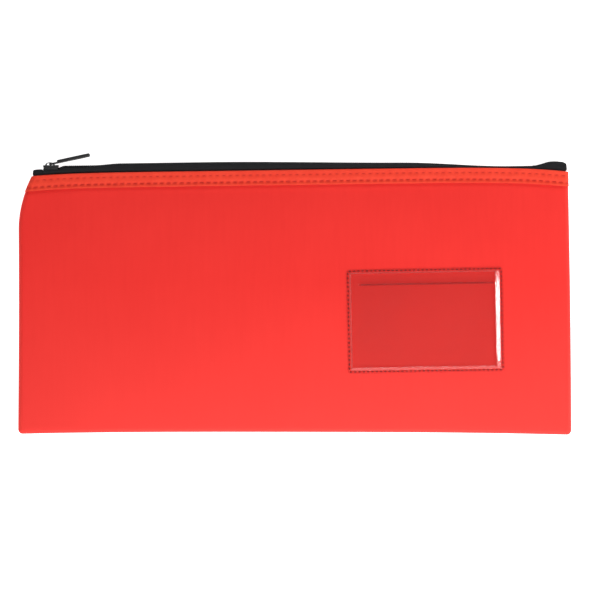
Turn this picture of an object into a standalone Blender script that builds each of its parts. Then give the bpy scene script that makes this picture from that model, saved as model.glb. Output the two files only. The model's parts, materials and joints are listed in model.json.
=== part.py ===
"""A flat neoprene zip pouch for cash deposits: two panels, a coil zip along the top and a card window.

The pouch lies on its back panel. X runs along the zip, Y from the bottom seam to the zip, Z up out of the
front panel. The origin is in the middle of the back panel's outer face. Heights h are measured from the
bottom seam, and depths from the plane halfway between the two panels, where their seam lies.
"""

from math import atan, cos, hypot, pi, radians, sin, sqrt

import bmesh
import bpy
from mathutils import Matrix, Vector

# Overall sizes
BAG_WIDTH = 0.350
BAG_HEIGHT = 0.1652  # bottom seam to the top of the binding, in the middle
TOP_SLOPE = 0.014  # the top edge climbs from left to right
CROWN = 0.0036  # how far the front panel swells

# Outline
LEFT_TAPER = 0.011
LEFT_TAPER_RUN = 0.038
RIGHT_LEAN = 0.0026
CROWN_ACROSS_POWER = 3.4  # the higher, the flatter the middle
CROWN_UP_POWER = 2.6
LEFT_END_DROP = 0.0025
RIGHT_END_DROP = 0.0057
END_DROP_POWER = 8
EDGE_RADIUS = 0.003  # turned edges and bottom corners

# Layers and clearances
NEOPRENE = 0.0020
RIBBON = 0.0005
TAPE = 0.0004
GAP = 0.0003
THREAD_RADIUS = 0.0002
THREAD_GAP = 0.00025
RIM_WALL = 0.00085  # straight part of a turned edge next to the seam

# Binding
BINDING_DEPTH = 0.0095
BINDING_INNER_DEPTH = 0.0065
BINDING_BEND = 0.00035
UPPER_ROW = 0.0030
LOWER_ROW = 0.0072
BAND_EASE = 0.008  # run over which the panels ease down to the binding

# Zip
TAPE_SEWN_DEPTH = 0.0080
TAPE_BEND = 0.00045
TAPE_FOLD_RADIUS = 0.00085
TAPE_FOLD_TUCK = 0.0003  # the fold turns this far short of the coil's edge
COIL_WIDTH = 0.0026
COIL_HEIGHT = 0.0013
ZIP_LEFT_INSET = 0.0187  # from the pouch's widest outline to the coil's closed end
ZIP_RIGHT_INSET = 0.0185
STOP_LENGTH = 0.0030
STOP_MARGIN = 0.0032  # tape left beyond the stop
LEFT_TAPE_END_LENGTH = 0.0042
LEFT_TAPE_END_HEIGHT = 0.0034
RIGHT_TAPE_END_LENGTH = 0.0117
RIGHT_TAPE_END_HEIGHT = 0.0043
TAPE_END_BEVEL = 0.0009
STOP_BEVEL = 0.0004

# Slider and pull
SLIDER_LENGTH = 0.0100
SLIDER_NOSE_WIDTH = 0.0084
SLIDER_PLATE = 0.0007
SLIDER_LOWER_PLATE = 0.0006
SLIDER_LOWER_WIDTH = 0.0048
FLANGE = 0.0006
FLANGE_START = 0.0021  # from the nose, past the flare of the plate
FLANGE_SETBACK = 0.0006  # from the tail
PLATE_LIP = 0.0002  # the plate stands this far outside its flanges
PLATE_CORNER = 0.0008
POST_LENGTH = 0.0022
POST_WIDTH = 0.0022
POST_SETBACK = 0.0004
BRIDGE_LENGTH = 0.0062
BRIDGE_WIDTH = 0.0018
BRIDGE_WALL = 0.0007
BRIDGE_FOOT = 0.0011
BRIDGE_FULLNESS = 0.8  # below 1 the arch is squarer than half an ellipse
PULL_BAR = 0.0010
PULL_CLEARANCE = 0.0003
PULL_HINGE_FROM_NOSE = 0.0044
PULL_LENGTH = 0.0248
PULL_WIDTH = 0.0062
PULL_TIP_WIDTH = 0.0074
PULL_CORNER = 0.0005
GRIP_CORNER = 0.0014
EYE_CORNER = 0.0003
PULL_THICKNESS = 0.0021
PULL_EYE_END = 0.0006  # the eye reaches this far past the foot of the bridge
PULL_NECK = 0.0010  # from the end of the eye to where the pull thickens
PULL_ANGLE = radians(12)
GRIP_SLOT_LENGTH = 0.0060
GRIP_SLOT_WIDTH = 0.0026
GRIP_SLOT_FROM_TIP = 0.0026
GRIP_SLOT_CORNER = 0.0008

# Card window
WINDOW_WIDTH = 0.0990
WINDOW_HEIGHT = 0.0655
WINDOW_FROM_RIGHT = 0.0926  # from the pouch's widest outline to the window's middle
WINDOW_H = 0.0703
WINDOW_TILT = radians(1.1)
WINDOW_FILM = 0.0004
WINDOW_FLANGE = 0.0030
WINDOW_WALL = 0.0016
WINDOW_STEP = 0.0012
WINDOW_THREAD_INSET = 0.0019
SLIT_LENGTH = 0.0854
SLIT_WIDTH = 0.0007
SLIT_FROM_TOP = 0.0083

# Smoothness
EDGE_STEPS = 4
PANEL_COLUMNS = 24
PANEL_ROWS = 12
BAND_ROWS = 3
BEND_STEPS = 2
COIL_SIDES = 12
FLANGE_STEPS = 3
WINDOW_CELLS_ACROSS = 6
WINDOW_CELLS_UP = 4
THREAD_PIECE = 0.012  # longest straight piece of the window's thread
SEAM_PIECES = 14
SHARP_ANGLE = radians(35)
SETTLING_ROUNDS = 3  # x and height depend on each other along the slanted outline
WELD = 0.000001

# Depths from the seam plane, worked out from the layers
HALF_GAP = GAP / 2
TAPE_PLANE = HALF_GAP + TAPE / 2
RIBBON_INNER = HALF_GAP + TAPE + GAP + RIBBON / 2
MOUTH_DEPTH = HALF_GAP + TAPE + GAP + RIBBON + GAP + NEOPRENE
RIBBON_OUTER = MOUTH_DEPTH + GAP + RIBBON / 2
THREAD_DEPTH = RIBBON_OUTER + RIBBON / 2 + THREAD_GAP + THREAD_RADIUS
SEAM_PLANE = THREAD_DEPTH + THREAD_RADIUS  # height of the seam plane above the table
COIL_EDGE = HALF_GAP + COIL_WIDTH

# Heights above the top of the binding, worked out the same way
FOLD_LOW = GAP + TAPE / 2
FOLD_HIGH = FOLD_LOW + 2 * TAPE_FOLD_RADIUS
COIL_BASE = FOLD_HIGH + TAPE / 2 + GAP
COIL_TOP = COIL_BASE + COIL_HEIGHT
PLATE_BASE = COIL_TOP + GAP
PLATE_TOP = PLATE_BASE + SLIDER_PLATE
PULL_AXIS = PLATE_TOP + PULL_CLEARANCE + PULL_BAR / 2
BRIDGE_HOLE = PULL_BAR + 2 * PULL_CLEARANCE
EYE_END = BRIDGE_LENGTH / 2 + PULL_EYE_END
GRIP_START = EYE_END + PULL_NECK

BOTTOM_Y = -BAG_HEIGHT / 2
WINDOW_X = BAG_WIDTH / 2 - WINDOW_FROM_RIGHT
ZIP_ANGLE = atan(TOP_SLOPE)
ZIP_LEFT = ZIP_LEFT_INSET - BAG_WIDTH / 2
ZIP_RIGHT = BAG_WIDTH / 2 - ZIP_RIGHT_INSET
SLIDER_NOSE = ZIP_LEFT - GAP - POST_LENGTH - POST_SETBACK
STOP_X = ZIP_RIGHT - STOP_MARGIN - STOP_LENGTH

COLOURS = {
    "neoprene": ((0.85, 0.045, 0.035), 0.85, 0.0),
    "binding": ((0.90, 0.070, 0.035), 0.80, 0.0),
    "red_thread": ((0.60, 0.020, 0.012), 0.70, 0.0),
    "tape": ((0.020, 0.020, 0.022), 0.85, 0.0),
    "coil": ((0.022, 0.022, 0.024), 0.45, 0.0),
    "slider": ((0.025, 0.025, 0.027), 0.38, 0.6),
    "film": ((0.95, 0.75, 0.74), 0.12, 0.0),
}


def remove_everything():
    for obj in list(bpy.data.objects):
        bpy.data.objects.remove(obj)


def new_collection(name):
    collection = bpy.data.collections.new(name)
    bpy.context.scene.collection.children.link(collection)
    return collection


def make_material(name):
    colour, roughness, metallic = COLOURS[name]
    material = bpy.data.materials.new(name)
    material.use_nodes = True
    shader = material.node_tree.nodes["Principled BSDF"]
    shader.inputs["Base Color"].default_value = (*colour, 1)
    shader.inputs["Roughness"].default_value = roughness
    shader.inputs["Metallic"].default_value = metallic
    return material


def smoothstep(value):
    value = min(1.0, max(0.0, value))
    return value * value * (3 - 2 * value)


def blend(low, high, share):
    return low + (high - low) * share


# The outline of the panels


def left_edge(h):
    rise = max(0.0, (h - BAG_HEIGHT + LEFT_TAPER_RUN) / LEFT_TAPER_RUN)
    return -BAG_WIDTH / 2 + LEFT_TAPER * rise**2


def right_edge(h):
    return BAG_WIDTH / 2 - RIGHT_LEAN * h / BAG_HEIGHT


def binding_top(x):
    """Height of the binding's top edge, which dips towards both corners."""
    drop = LEFT_END_DROP if x < 0 else RIGHT_END_DROP
    return BAG_HEIGHT + TOP_SLOPE * x - drop * abs(2 * x / BAG_WIDTH) ** END_DROP_POWER


def panel_top(x):
    return binding_top(x) - RIBBON - GAP


def crown(x, h):
    """Swell of the front panel: full in the middle, nothing at the seams and under the binding."""
    across = (x - left_edge(h)) / (right_edge(h) - left_edge(h))
    up = min(1.0, h / (binding_top(x) - BINDING_DEPTH - BAND_EASE / 2))
    fall = (1 - abs(2 * across - 1) ** CROWN_ACROSS_POWER) * (1 - abs(2 * up - 1) ** CROWN_UP_POWER)
    return CROWN * fall


def front_depth(x, h):
    return MOUTH_DEPTH + crown(x, h)


def back_depth(x, h):
    eased = smoothstep((h - binding_top(x) + BINDING_DEPTH + BAND_EASE) / BAND_EASE)
    return blend(SEAM_PLANE, MOUTH_DEPTH, eased)


def edge_stations():
    """Distances in from a turned edge, closer together where it turns down."""
    return [EDGE_RADIUS * (1 - cos(pi / 2 * step / EDGE_STEPS)) for step in range(EDGE_STEPS + 1)]


def round_off(across, up):
    """Moves a point of a square corner, given as shares of its side from the middle, into a quarter disc."""
    return across * sqrt(1 - up * up / 2), up * sqrt(1 - across * across / 2)


def panel_point(column, row, columns, rows, depth):
    """Place of one grid point of a panel: (x, h, depth from the seam plane)."""
    inset = edge_stations()
    from_left = min(column, EDGE_STEPS)
    from_right = min(columns - column, EDGE_STEPS)
    side_in = inset[from_left] if from_left < EDGE_STEPS else inset[from_right]
    side = -1 if column < EDGE_STEPS else 1
    at_side = min(from_left, from_right) < EDGE_STEPS
    share = (column - EDGE_STEPS) / (columns - 2 * EDGE_STEPS)
    across = 1 - side_in / EDGE_RADIUS if at_side else 0.0
    up = 1 - inset[row] / EDGE_RADIUS if row < EDGE_STEPS else 0.0
    across, up = round_off(across, up)
    x = blend(-BAG_WIDTH / 2, BAG_WIDTH / 2, share)
    for _ in range(SETTLING_ROUNDS):
        band = panel_top(x) - BINDING_DEPTH - BAND_EASE
        if row < EDGE_STEPS:
            h = EDGE_RADIUS * (1 - up)
        elif row <= rows - BAND_ROWS:
            h = blend(EDGE_RADIUS, band, (row - EDGE_STEPS) / (rows - BAND_ROWS - EDGE_STEPS))
        else:
            h = blend(band, panel_top(x), (row - rows + BAND_ROWS) / BAND_ROWS)
        left, right = left_edge(h), right_edge(h)
        if at_side:
            x = left + EDGE_RADIUS * (1 - across) if side < 0 else right - EDGE_RADIUS * (1 - across)
        else:
            x = blend(left + EDGE_RADIUS, right - EDGE_RADIUS, share)
    turned = sqrt(max(0.0, 1 - across * across - up * up))
    base = HALF_GAP + RIM_WALL
    return x, h, base + (depth(x, h) - base) * turned


def add_object(name, bm, material, collection, parent=None):
    mesh = bpy.data.meshes.new(name)
    bm.to_mesh(mesh)
    bm.free()
    mesh.materials.append(material)
    mesh.shade_smooth()
    mesh.set_sharp_from_angle(angle=SHARP_ANGLE)
    obj = bpy.data.objects.new(name, mesh)
    collection.objects.link(obj)
    obj.parent = parent
    return obj


def shape_grid(columns, rows, place):
    """A grid whose points are put where place(column, row) says."""
    bm = bmesh.new()
    bmesh.ops.create_grid(bm, x_segments=columns, y_segments=rows, size=1)
    for vertex in bm.verts:
        column = round((vertex.co.x + 1) / 2 * columns)
        row = round((vertex.co.y + 1) / 2 * rows)
        vertex.co = place(column, row)
    return bm


def thicken(obj, thickness, offset):
    solid = obj.modifiers.new("thickness", "SOLIDIFY")
    solid.thickness = thickness
    solid.offset = offset
    solid.use_even_offset = True
    solid.use_quality_normals = True


def make_panel(name, side, depth, material, collection):
    """A shallow tray of neoprene; side is 1 for the front and -1 for the back."""
    columns = PANEL_COLUMNS + 2 * EDGE_STEPS
    rows = EDGE_STEPS + PANEL_ROWS + BAND_ROWS

    def place(column, row):
        x, h, out = panel_point(column, row, columns, rows, depth)
        return Vector((x, BOTTOM_Y + h, SEAM_PLANE + side * out))

    bm = shape_grid(columns, rows, place)
    mouth = {v for v in bm.verts if v.co.y > BOTTOM_Y + panel_top(v.co.x) - GAP / 10}
    sewn = [e for e in bm.edges if e.is_boundary and not (e.verts[0] in mouth and e.verts[1] in mouth)]
    wall = bmesh.ops.extrude_edge_only(bm, edges=sewn)["geom"]
    for vertex in wall:
        if isinstance(vertex, bmesh.types.BMVert):
            vertex.co.z = SEAM_PLANE + side * HALF_GAP
    bmesh.ops.recalc_face_normals(bm, faces=bm.faces)
    middle = min(bm.faces, key=lambda face: hypot(*face.calc_center_median().xy))
    if middle.normal.z * side < 0:
        bmesh.ops.reverse_faces(bm, faces=bm.faces)
    obj = add_object(name, bm, material, collection)
    thicken(obj, NEOPRENE, -1)
    return obj


def bend(centre, radius, start, end, steps):
    """Points round a bend, from one angle to another, as (depth, height) pairs."""
    turn = (end - start) / steps
    return [
        (centre[0] + radius * cos(start + turn * i), centre[1] + radius * sin(start + turn * i))
        for i in range(steps + 1)
    ]


def binding_profile():
    """Section of the folded ribbon: up the outside, over the cut edge and down the inside."""
    top = -RIBBON / 2
    outer = bend((RIBBON_OUTER - BINDING_BEND, top - BINDING_BEND), BINDING_BEND, 0, pi / 2, BEND_STEPS)
    inner = bend((RIBBON_INNER + BINDING_BEND, top - BINDING_BEND), BINDING_BEND, pi / 2, pi, BEND_STEPS)
    return [
        (RIBBON_OUTER, -BINDING_DEPTH),
        *outer,
        *inner,
        (RIBBON_INNER, -BINDING_INNER_DEPTH),
    ]


def make_binding(name, side, material, collection):
    profile = binding_profile()
    columns = PANEL_COLUMNS

    def place(column, row):
        depth, height = profile[row]
        inset = EDGE_RADIUS + GAP
        x = blend(-BAG_WIDTH / 2, BAG_WIDTH / 2, column / columns)
        for _ in range(SETTLING_ROUNDS):
            h = binding_top(x) + height
            x = blend(left_edge(h) + inset, right_edge(h) - inset, column / columns)
        return Vector((x, BOTTOM_Y + h, SEAM_PLANE + side * depth))

    obj = add_object(name, shape_grid(columns, len(profile) - 1, place), material, collection)
    thicken(obj, RIBBON, 0)
    return obj


def tape_profile():
    """Section of one tape: sewn leg, out over the binding, and folded back in under its coil."""
    rise = bend((TAPE_PLANE + TAPE_BEND, FOLD_LOW - TAPE_BEND), TAPE_BEND, pi, pi / 2, BEND_STEPS + 1)
    fold_middle = (COIL_EDGE - TAPE_FOLD_TUCK, FOLD_LOW + TAPE_FOLD_RADIUS)
    fold = bend(fold_middle, TAPE_FOLD_RADIUS, -pi / 2, pi / 2, 4 * BEND_STEPS)
    return [(TAPE_PLANE, -TAPE_SEWN_DEPTH), *rise, *fold, (HALF_GAP, FOLD_HIGH)]


def make_tape(name, side, material, collection, zip_line):
    profile = tape_profile()
    ends = (ZIP_LEFT, ZIP_RIGHT)

    def place(column, row):
        depth, height = profile[row]
        return Vector((ends[column], height, side * depth))

    bm = shape_grid(1, len(profile) - 1, place)
    obj = add_object(name, bm, material, collection, zip_line)
    thicken(obj, TAPE, 0)
    return obj


def oval(width, height, sides):
    """A flattened round section as points round its middle."""
    turn = 2 * pi / sides
    return [(width / 2 * cos(turn * i), height / 2 * sin(turn * i)) for i in range(sides)]


def outline_solid(name, outlines, thickness, matrix, material, collection, parent=None):
    """A flat outline, holes included, given a thickness and then placed; a mesh, so it can be joined."""
    curve = bpy.data.curves.new(name, "CURVE")
    curve.dimensions = "2D"
    curve.fill_mode = "BOTH"
    curve.extrude = thickness / 2
    for points in outlines:
        spline = curve.splines.new("POLY")
        spline.points.add(len(points) - 1)
        for point, (x, y) in zip(spline.points, points):
            point.co = (x, y, 0, 1)
        spline.use_cyclic_u = True
    drawn = bpy.data.objects.new(name + "_outline", curve)
    collection.objects.link(drawn)
    bpy.context.view_layer.update()
    flat = bpy.data.meshes.new_from_object(drawn.evaluated_get(bpy.context.evaluated_depsgraph_get()))
    bpy.data.objects.remove(drawn)
    bm = bmesh.new()
    bm.from_mesh(flat)
    bmesh.ops.remove_doubles(bm, verts=bm.verts, dist=WELD)
    bmesh.ops.transform(bm, matrix=matrix, verts=bm.verts)
    bmesh.ops.recalc_face_normals(bm, faces=bm.faces)
    return add_object(name, bm, material, collection, parent)


def box(name, low, high, material, collection, parent=None, bevel=0.0):
    bm = bmesh.new()
    bmesh.ops.create_cube(bm, size=1)
    low, high = Vector(low), Vector(high)
    bmesh.ops.scale(bm, vec=high - low, verts=bm.verts)
    bmesh.ops.translate(bm, vec=(low + high) / 2, verts=bm.verts)
    if bevel:
        bmesh.ops.bevel(bm, geom=bm.edges, offset=bevel, segments=2, affect="EDGES", profile=0.5)
    return add_object(name, bm, material, collection, parent)


def rounded_outline(length, widths, radius, start=0.0, steps=3):
    """A four-cornered outline along X from start, as wide as widths says at each end."""
    corners = [
        (start, -widths[0] / 2),
        (start + length, -widths[1] / 2),
        (start + length, widths[1] / 2),
        (start, widths[0] / 2),
    ]
    points = []
    for index, (x, y) in enumerate(corners):
        inward = Vector((radius if index in (0, 3) else -radius, radius if index < 2 else -radius))
        first = pi + index * pi / 2
        middle = Vector((x, y)) + inward
        points += bend(middle, radius, first, first + pi / 2, steps)
    return points


def join(obj, others, cutters):
    """Unites other solids into this one, and keeps them as hidden helpers."""
    for other in others:
        hide(other, cutters)
        union = obj.modifiers.new("with_" + other.name, "BOOLEAN")
        union.operation = "UNION"
        union.object = other


def cut(obj, cutter, cutters):
    hide(cutter, cutters)
    difference = obj.modifiers.new("cut_" + cutter.name, "BOOLEAN")
    difference.operation = "DIFFERENCE"
    difference.object = cutter


def hide(obj, cutters):
    for collection in list(obj.users_collection):
        collection.objects.unlink(obj)
    cutters.objects.link(obj)
    obj.hide_render = True
    obj.display_type = "WIRE"


def flat_to_zip():
    """Turns a shape drawn in X and Y so that it lies along the zip with its thickness upwards from it."""
    return Matrix.Rotation(pi / 2, 4, "X")


def make_coil(name, side, material, collection, zip_line):
    turned = Matrix.Rotation(pi / 2, 4, "Y")
    middle = Vector((
        (ZIP_LEFT + STOP_X - GAP) / 2,
        (COIL_BASE + COIL_TOP) / 2,
        side * (HALF_GAP + COIL_WIDTH / 2),
    ))
    placed = Matrix.Translation(middle) @ turned
    length = STOP_X - GAP - ZIP_LEFT
    section = [oval(COIL_WIDTH, COIL_HEIGHT, COIL_SIDES)]
    return outline_solid(name, section, length, placed, material, collection, zip_line)


def make_slider(material, collection, cutters, zip_line):
    """Two plates joined by a post, flanges outside the coils, and a bridge that holds the pull."""
    nose = SLIDER_NOSE
    tail_width = 2 * (COIL_EDGE + GAP + FLANGE + PLATE_LIP)
    flat = flat_to_zip()

    def plate(name, widths, base, thickness):
        outline = [rounded_outline(SLIDER_LENGTH, widths, PLATE_CORNER, nose)]
        lifted = Matrix.Translation((0, base + thickness / 2, 0)) @ flat
        return outline_solid(name, outline, thickness, lifted, material, collection, zip_line)

    widths = (SLIDER_NOSE_WIDTH, tail_width)
    slider = plate("slider_body", widths, PLATE_BASE, SLIDER_PLATE)
    gap_middle = (FOLD_LOW + FOLD_HIGH) / 2
    lower_base = gap_middle - SLIDER_LOWER_PLATE / 2
    lower_widths = (SLIDER_LOWER_WIDTH, SLIDER_LOWER_WIDTH)
    lower = plate("lower_plate", lower_widths, lower_base, SLIDER_LOWER_PLATE)
    post = box(
        "post",
        (nose + POST_SETBACK, gap_middle, -POST_WIDTH / 2),
        (nose + POST_SETBACK + POST_LENGTH, PLATE_BASE + SLIDER_PLATE / 2, POST_WIDTH / 2),
        material,
        collection,
        zip_line,
    )
    flanges = []
    for side in (-1, 1):
        inner = COIL_EDGE + GAP
        edges = sorted((side * inner, side * (inner + FLANGE)))
        flanges.append(
            box(
                "left_flange" if side < 0 else "right_flange",
                (nose + FLANGE_START, COIL_BASE, edges[0]),
                (nose + SLIDER_LENGTH - FLANGE_SETBACK, PLATE_BASE + SLIDER_PLATE / 2, edges[1]),
                material,
                collection,
                zip_line,
            )
        )
    join(slider, [lower, post, *flanges, make_bridge(material, collection, zip_line)], cutters)
    return slider


def make_bridge(material, collection, zip_line):
    """The arch on the slider, drawn from the side with the eye that the pull's bar runs in."""
    hole_low = PLATE_TOP - SLIDER_PLATE / 4
    hole_high = PLATE_TOP + BRIDGE_HOLE
    middle = SLIDER_NOSE + PULL_HINGE_FROM_NOSE
    low = PLATE_TOP - SLIDER_PLATE / 2
    foot = BRIDGE_LENGTH / 2
    outer_height = hole_high + BRIDGE_WALL - low
    arch = [pi * step / 12 for step in range(13)]
    outer = [(middle + foot * cos(a), low + outer_height * sin(a) ** BRIDGE_FULLNESS) for a in arch]
    inner_foot = foot - BRIDGE_FOOT
    round_end = BRIDGE_HOLE / 2
    right_middle = (middle + inner_foot - round_end, hole_high - round_end)
    left_middle = (middle - inner_foot + round_end, hole_high - round_end)
    inner = [
        (middle - inner_foot, hole_low),
        (middle + inner_foot, hole_low),
        *bend(right_middle, round_end, 0, pi / 2, BEND_STEPS + 1),
        *bend(left_middle, round_end, pi / 2, pi, BEND_STEPS + 1),
    ]
    return outline_solid(
        "bridge", [outer, inner], BRIDGE_WIDTH, Matrix.Identity(4), material, collection, zip_line
    )


def make_pull(material, collection, cutters, zip_line):
    """The pull, with its own origin on the hinge axis, which runs across the zip."""
    hinge = bpy.data.objects.new("pull_hinge", None)
    hinge.location = (SLIDER_NOSE + PULL_HINGE_FROM_NOSE, PULL_AXIS, 0)
    hinge.rotation_euler = (0, 0, PULL_ANGLE)
    hinge.parent = zip_line
    collection.objects.link(hinge)
    flat = flat_to_zip()
    start = -PULL_BAR / 2
    widths = (PULL_WIDTH, PULL_TIP_WIDTH)
    outline = rounded_outline(PULL_LENGTH - start, widths, PULL_CORNER, start)
    eye_width = BRIDGE_WIDTH + 2 * PULL_CLEARANCE
    eye = rounded_outline(EYE_END + start, (eye_width, eye_width), EYE_CORNER, -start)
    pull = outline_solid("pull_tab", [outline, eye], PULL_BAR, flat, material, collection, hinge)
    grip = rounded_outline(PULL_LENGTH - GRIP_START, widths, GRIP_CORNER, GRIP_START)
    slot_start = PULL_LENGTH - GRIP_SLOT_FROM_TIP - GRIP_SLOT_LENGTH
    slot_widths = (GRIP_SLOT_WIDTH, GRIP_SLOT_WIDTH)
    slot = rounded_outline(GRIP_SLOT_LENGTH, slot_widths, GRIP_SLOT_CORNER, slot_start)
    lifted = Matrix.Translation((0, (PULL_THICKNESS - PULL_BAR) / 2, 0)) @ flat
    body = outline_solid("pull_body", [grip], PULL_THICKNESS, lifted, material, collection, hinge)
    join(pull, [body], cutters)
    deep = Matrix.Translation((0, PULL_THICKNESS - PULL_BAR, 0)) @ flat
    cutter = outline_solid("grip_slot", [slot], PULL_THICKNESS, deep, material, collection, hinge)
    cut(pull, cutter, cutters)
    return pull


def window_frame(along, up):
    """World x and height h of a point of the card window, from its own middle."""
    turn_x, turn_y = cos(WINDOW_TILT), sin(WINDOW_TILT)
    return WINDOW_X + along * turn_x - up * turn_y, WINDOW_H + along * turn_y + up * turn_x


def window_stations(half, cells):
    """Stations across half the window: the flange, the step, then even cells to the middle."""
    turns = [pi / 2 * step / FLANGE_STEPS for step in range(FLANGE_STEPS + 1)]
    flange = [WINDOW_FLANGE * (1 - cos(turn)) for turn in turns]
    inner = WINDOW_FLANGE + WINDOW_WALL
    return flange + [blend(inner, half, i / cells) for i in range(cells + 1)]


def make_window(material, collection, cutters):
    """Clear film: a sewn flange, a step up on all four sides, and a face with a slit for the card."""
    halves = (WINDOW_WIDTH / 2, WINDOW_HEIGHT / 2)
    stations = (
        window_stations(halves[0], WINDOW_CELLS_ACROSS),
        window_stations(halves[1], WINDOW_CELLS_UP),
    )
    columns, rows = (2 * (len(line) - 1) for line in stations)

    def place(column, row):
        far = []
        for index, line in ((column, stations[0]), (row, stations[1])):
            side = -1 if index < len(line) else 1
            step = index if index < len(line) else 2 * (len(line) - 1) - index
            far.append((side, line[step]))
        shares = [max(0.0, 1 - inset / WINDOW_FLANGE) for _, inset in far]
        shares = round_off(*shares)
        places = []
        for (side, inset), share, half in zip(far, shares, halves):
            if inset < WINDOW_FLANGE:
                inset = WINDOW_FLANGE * (1 - share)
            places.append(side * (half - inset))
        depth_in = min(far[0][1], far[1][1]) - WINDOW_FLANGE
        lift = WINDOW_STEP * smoothstep(depth_in / WINDOW_WALL)
        x, h = window_frame(*places)
        return Vector((x, BOTTOM_Y + h, SEAM_PLANE + front_depth(x, h) + GAP + lift))

    window = add_object("card_window", shape_grid(columns, rows, place), material, collection)
    thicken(window, WINDOW_FILM, 1)
    x, h = window_frame(0, WINDOW_HEIGHT / 2 - SLIT_FROM_TOP)
    reach = SEAM_PLANE + MOUTH_DEPTH + CROWN
    slit = box(
        "slit",
        (-SLIT_LENGTH / 2, -SLIT_WIDTH / 2, -WINDOW_STEP - 2 * GAP),
        (SLIT_LENGTH / 2, SLIT_WIDTH / 2, 3 * WINDOW_STEP),
        material,
        collection,
    )
    slit.location = (x, BOTTOM_Y + h, reach + WINDOW_STEP)
    slit.rotation_euler = (0, 0, WINDOW_TILT)
    cut(window, slit, cutters)
    return window


def tube(name, points, material, collection, closed=False):
    """A thread lying along the points."""
    curve = bpy.data.curves.new(name, "CURVE")
    curve.dimensions = "3D"
    curve.bevel_depth = THREAD_RADIUS
    curve.bevel_resolution = 1
    curve.use_fill_caps = not closed
    spline = curve.splines.new("POLY")
    spline.points.add(len(points) - 1)
    for point, place in zip(spline.points, points):
        point.co = (*place, 1)
    spline.use_cyclic_u = closed
    curve.materials.append(material)
    obj = bpy.data.objects.new(name, curve)
    collection.objects.link(obj)
    return obj


def make_binding_thread(name, side, below_top, material, collection):
    points = []
    steps = PANEL_COLUMNS
    for step in range(steps + 1):
        x = blend(-BAG_WIDTH / 2, BAG_WIDTH / 2, step / steps)
        for _ in range(SETTLING_ROUNDS):
            h = binding_top(x) - below_top
            inset = EDGE_RADIUS + 2 * GAP
            x = blend(left_edge(h) + inset, right_edge(h) - inset, step / steps)
        points.append((x, BOTTOM_Y + h, SEAM_PLANE + side * THREAD_DEPTH))
    return tube(name, points, material, collection)


def make_window_thread(material, collection):
    """One round of thread on the window's flange, with rounded corners."""
    half_width = WINDOW_WIDTH / 2 - WINDOW_THREAD_INSET
    half_height = WINDOW_HEIGHT / 2 - WINDOW_THREAD_INSET
    radius = WINDOW_FLANGE - WINDOW_THREAD_INSET
    outline = rounded_outline(2 * half_width, (2 * half_height, 2 * half_height), radius, -half_width, 2)
    corners = outline + outline[:1]
    points = []
    for first, second in zip(corners, corners[1:]):
        pieces = max(1, round(hypot(second[0] - first[0], second[1] - first[1]) / THREAD_PIECE))
        for piece in range(pieces):
            share = piece / pieces
            x, h = window_frame(blend(first[0], second[0], share), blend(first[1], second[1], share))
            lift = GAP + WINDOW_FILM + THREAD_GAP + THREAD_RADIUS
            points.append((x, BOTTOM_Y + h, SEAM_PLANE + front_depth(x, h) + lift))
    return tube("card_window_thread", points, material, collection, closed=True)


def make_seam_threads(material, collection):
    """The threads that close the two sides and the bottom, inside the turned edges."""
    inset = NEOPRENE + THREAD_GAP + THREAD_RADIUS
    low = EDGE_RADIUS + inset
    high = BAG_HEIGHT - BINDING_DEPTH
    heights = [blend(low, high, step / SEAM_PIECES) for step in range(SEAM_PIECES + 1)]
    left = [(left_edge(h) + inset, BOTTOM_Y + h, SEAM_PLANE) for h in heights]
    right = [(right_edge(h) - inset, BOTTOM_Y + h, SEAM_PLANE) for h in heights]
    far = BAG_WIDTH / 2 - low
    bottom = [(-far, BOTTOM_Y + inset, SEAM_PLANE), (far, BOTTOM_Y + inset, SEAM_PLANE)]
    tube("left_seam_thread", left, material, collection)
    tube("right_seam_thread", right, material, collection)
    tube("bottom_seam_thread", bottom, material, collection)


def make_zip_ends(tape, coil, collection, zip_line):
    """The stop across both coils, and the tape ends tacked down at the two corners."""
    box(
        "zip_end_stop",
        (STOP_X, COIL_BASE, -COIL_EDGE),
        (STOP_X + STOP_LENGTH, COIL_TOP + GAP, COIL_EDGE),
        coil,
        collection,
        zip_line,
        bevel=STOP_BEVEL,
    )
    left_start = SLIDER_NOSE - GAP - LEFT_TAPE_END_LENGTH
    tape_ends = {
        "left_tape_end": (left_start, LEFT_TAPE_END_LENGTH, LEFT_TAPE_END_HEIGHT),
        "right_tape_end": (ZIP_RIGHT + GAP, RIGHT_TAPE_END_LENGTH, RIGHT_TAPE_END_HEIGHT),
    }
    for name, (start, length, height) in tape_ends.items():
        low = (start, GAP, -COIL_EDGE - GAP)
        high = (start + length, GAP + height, COIL_EDGE + GAP)
        box(name, low, high, tape, collection, zip_line, bevel=TAPE_END_BEVEL)


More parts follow.
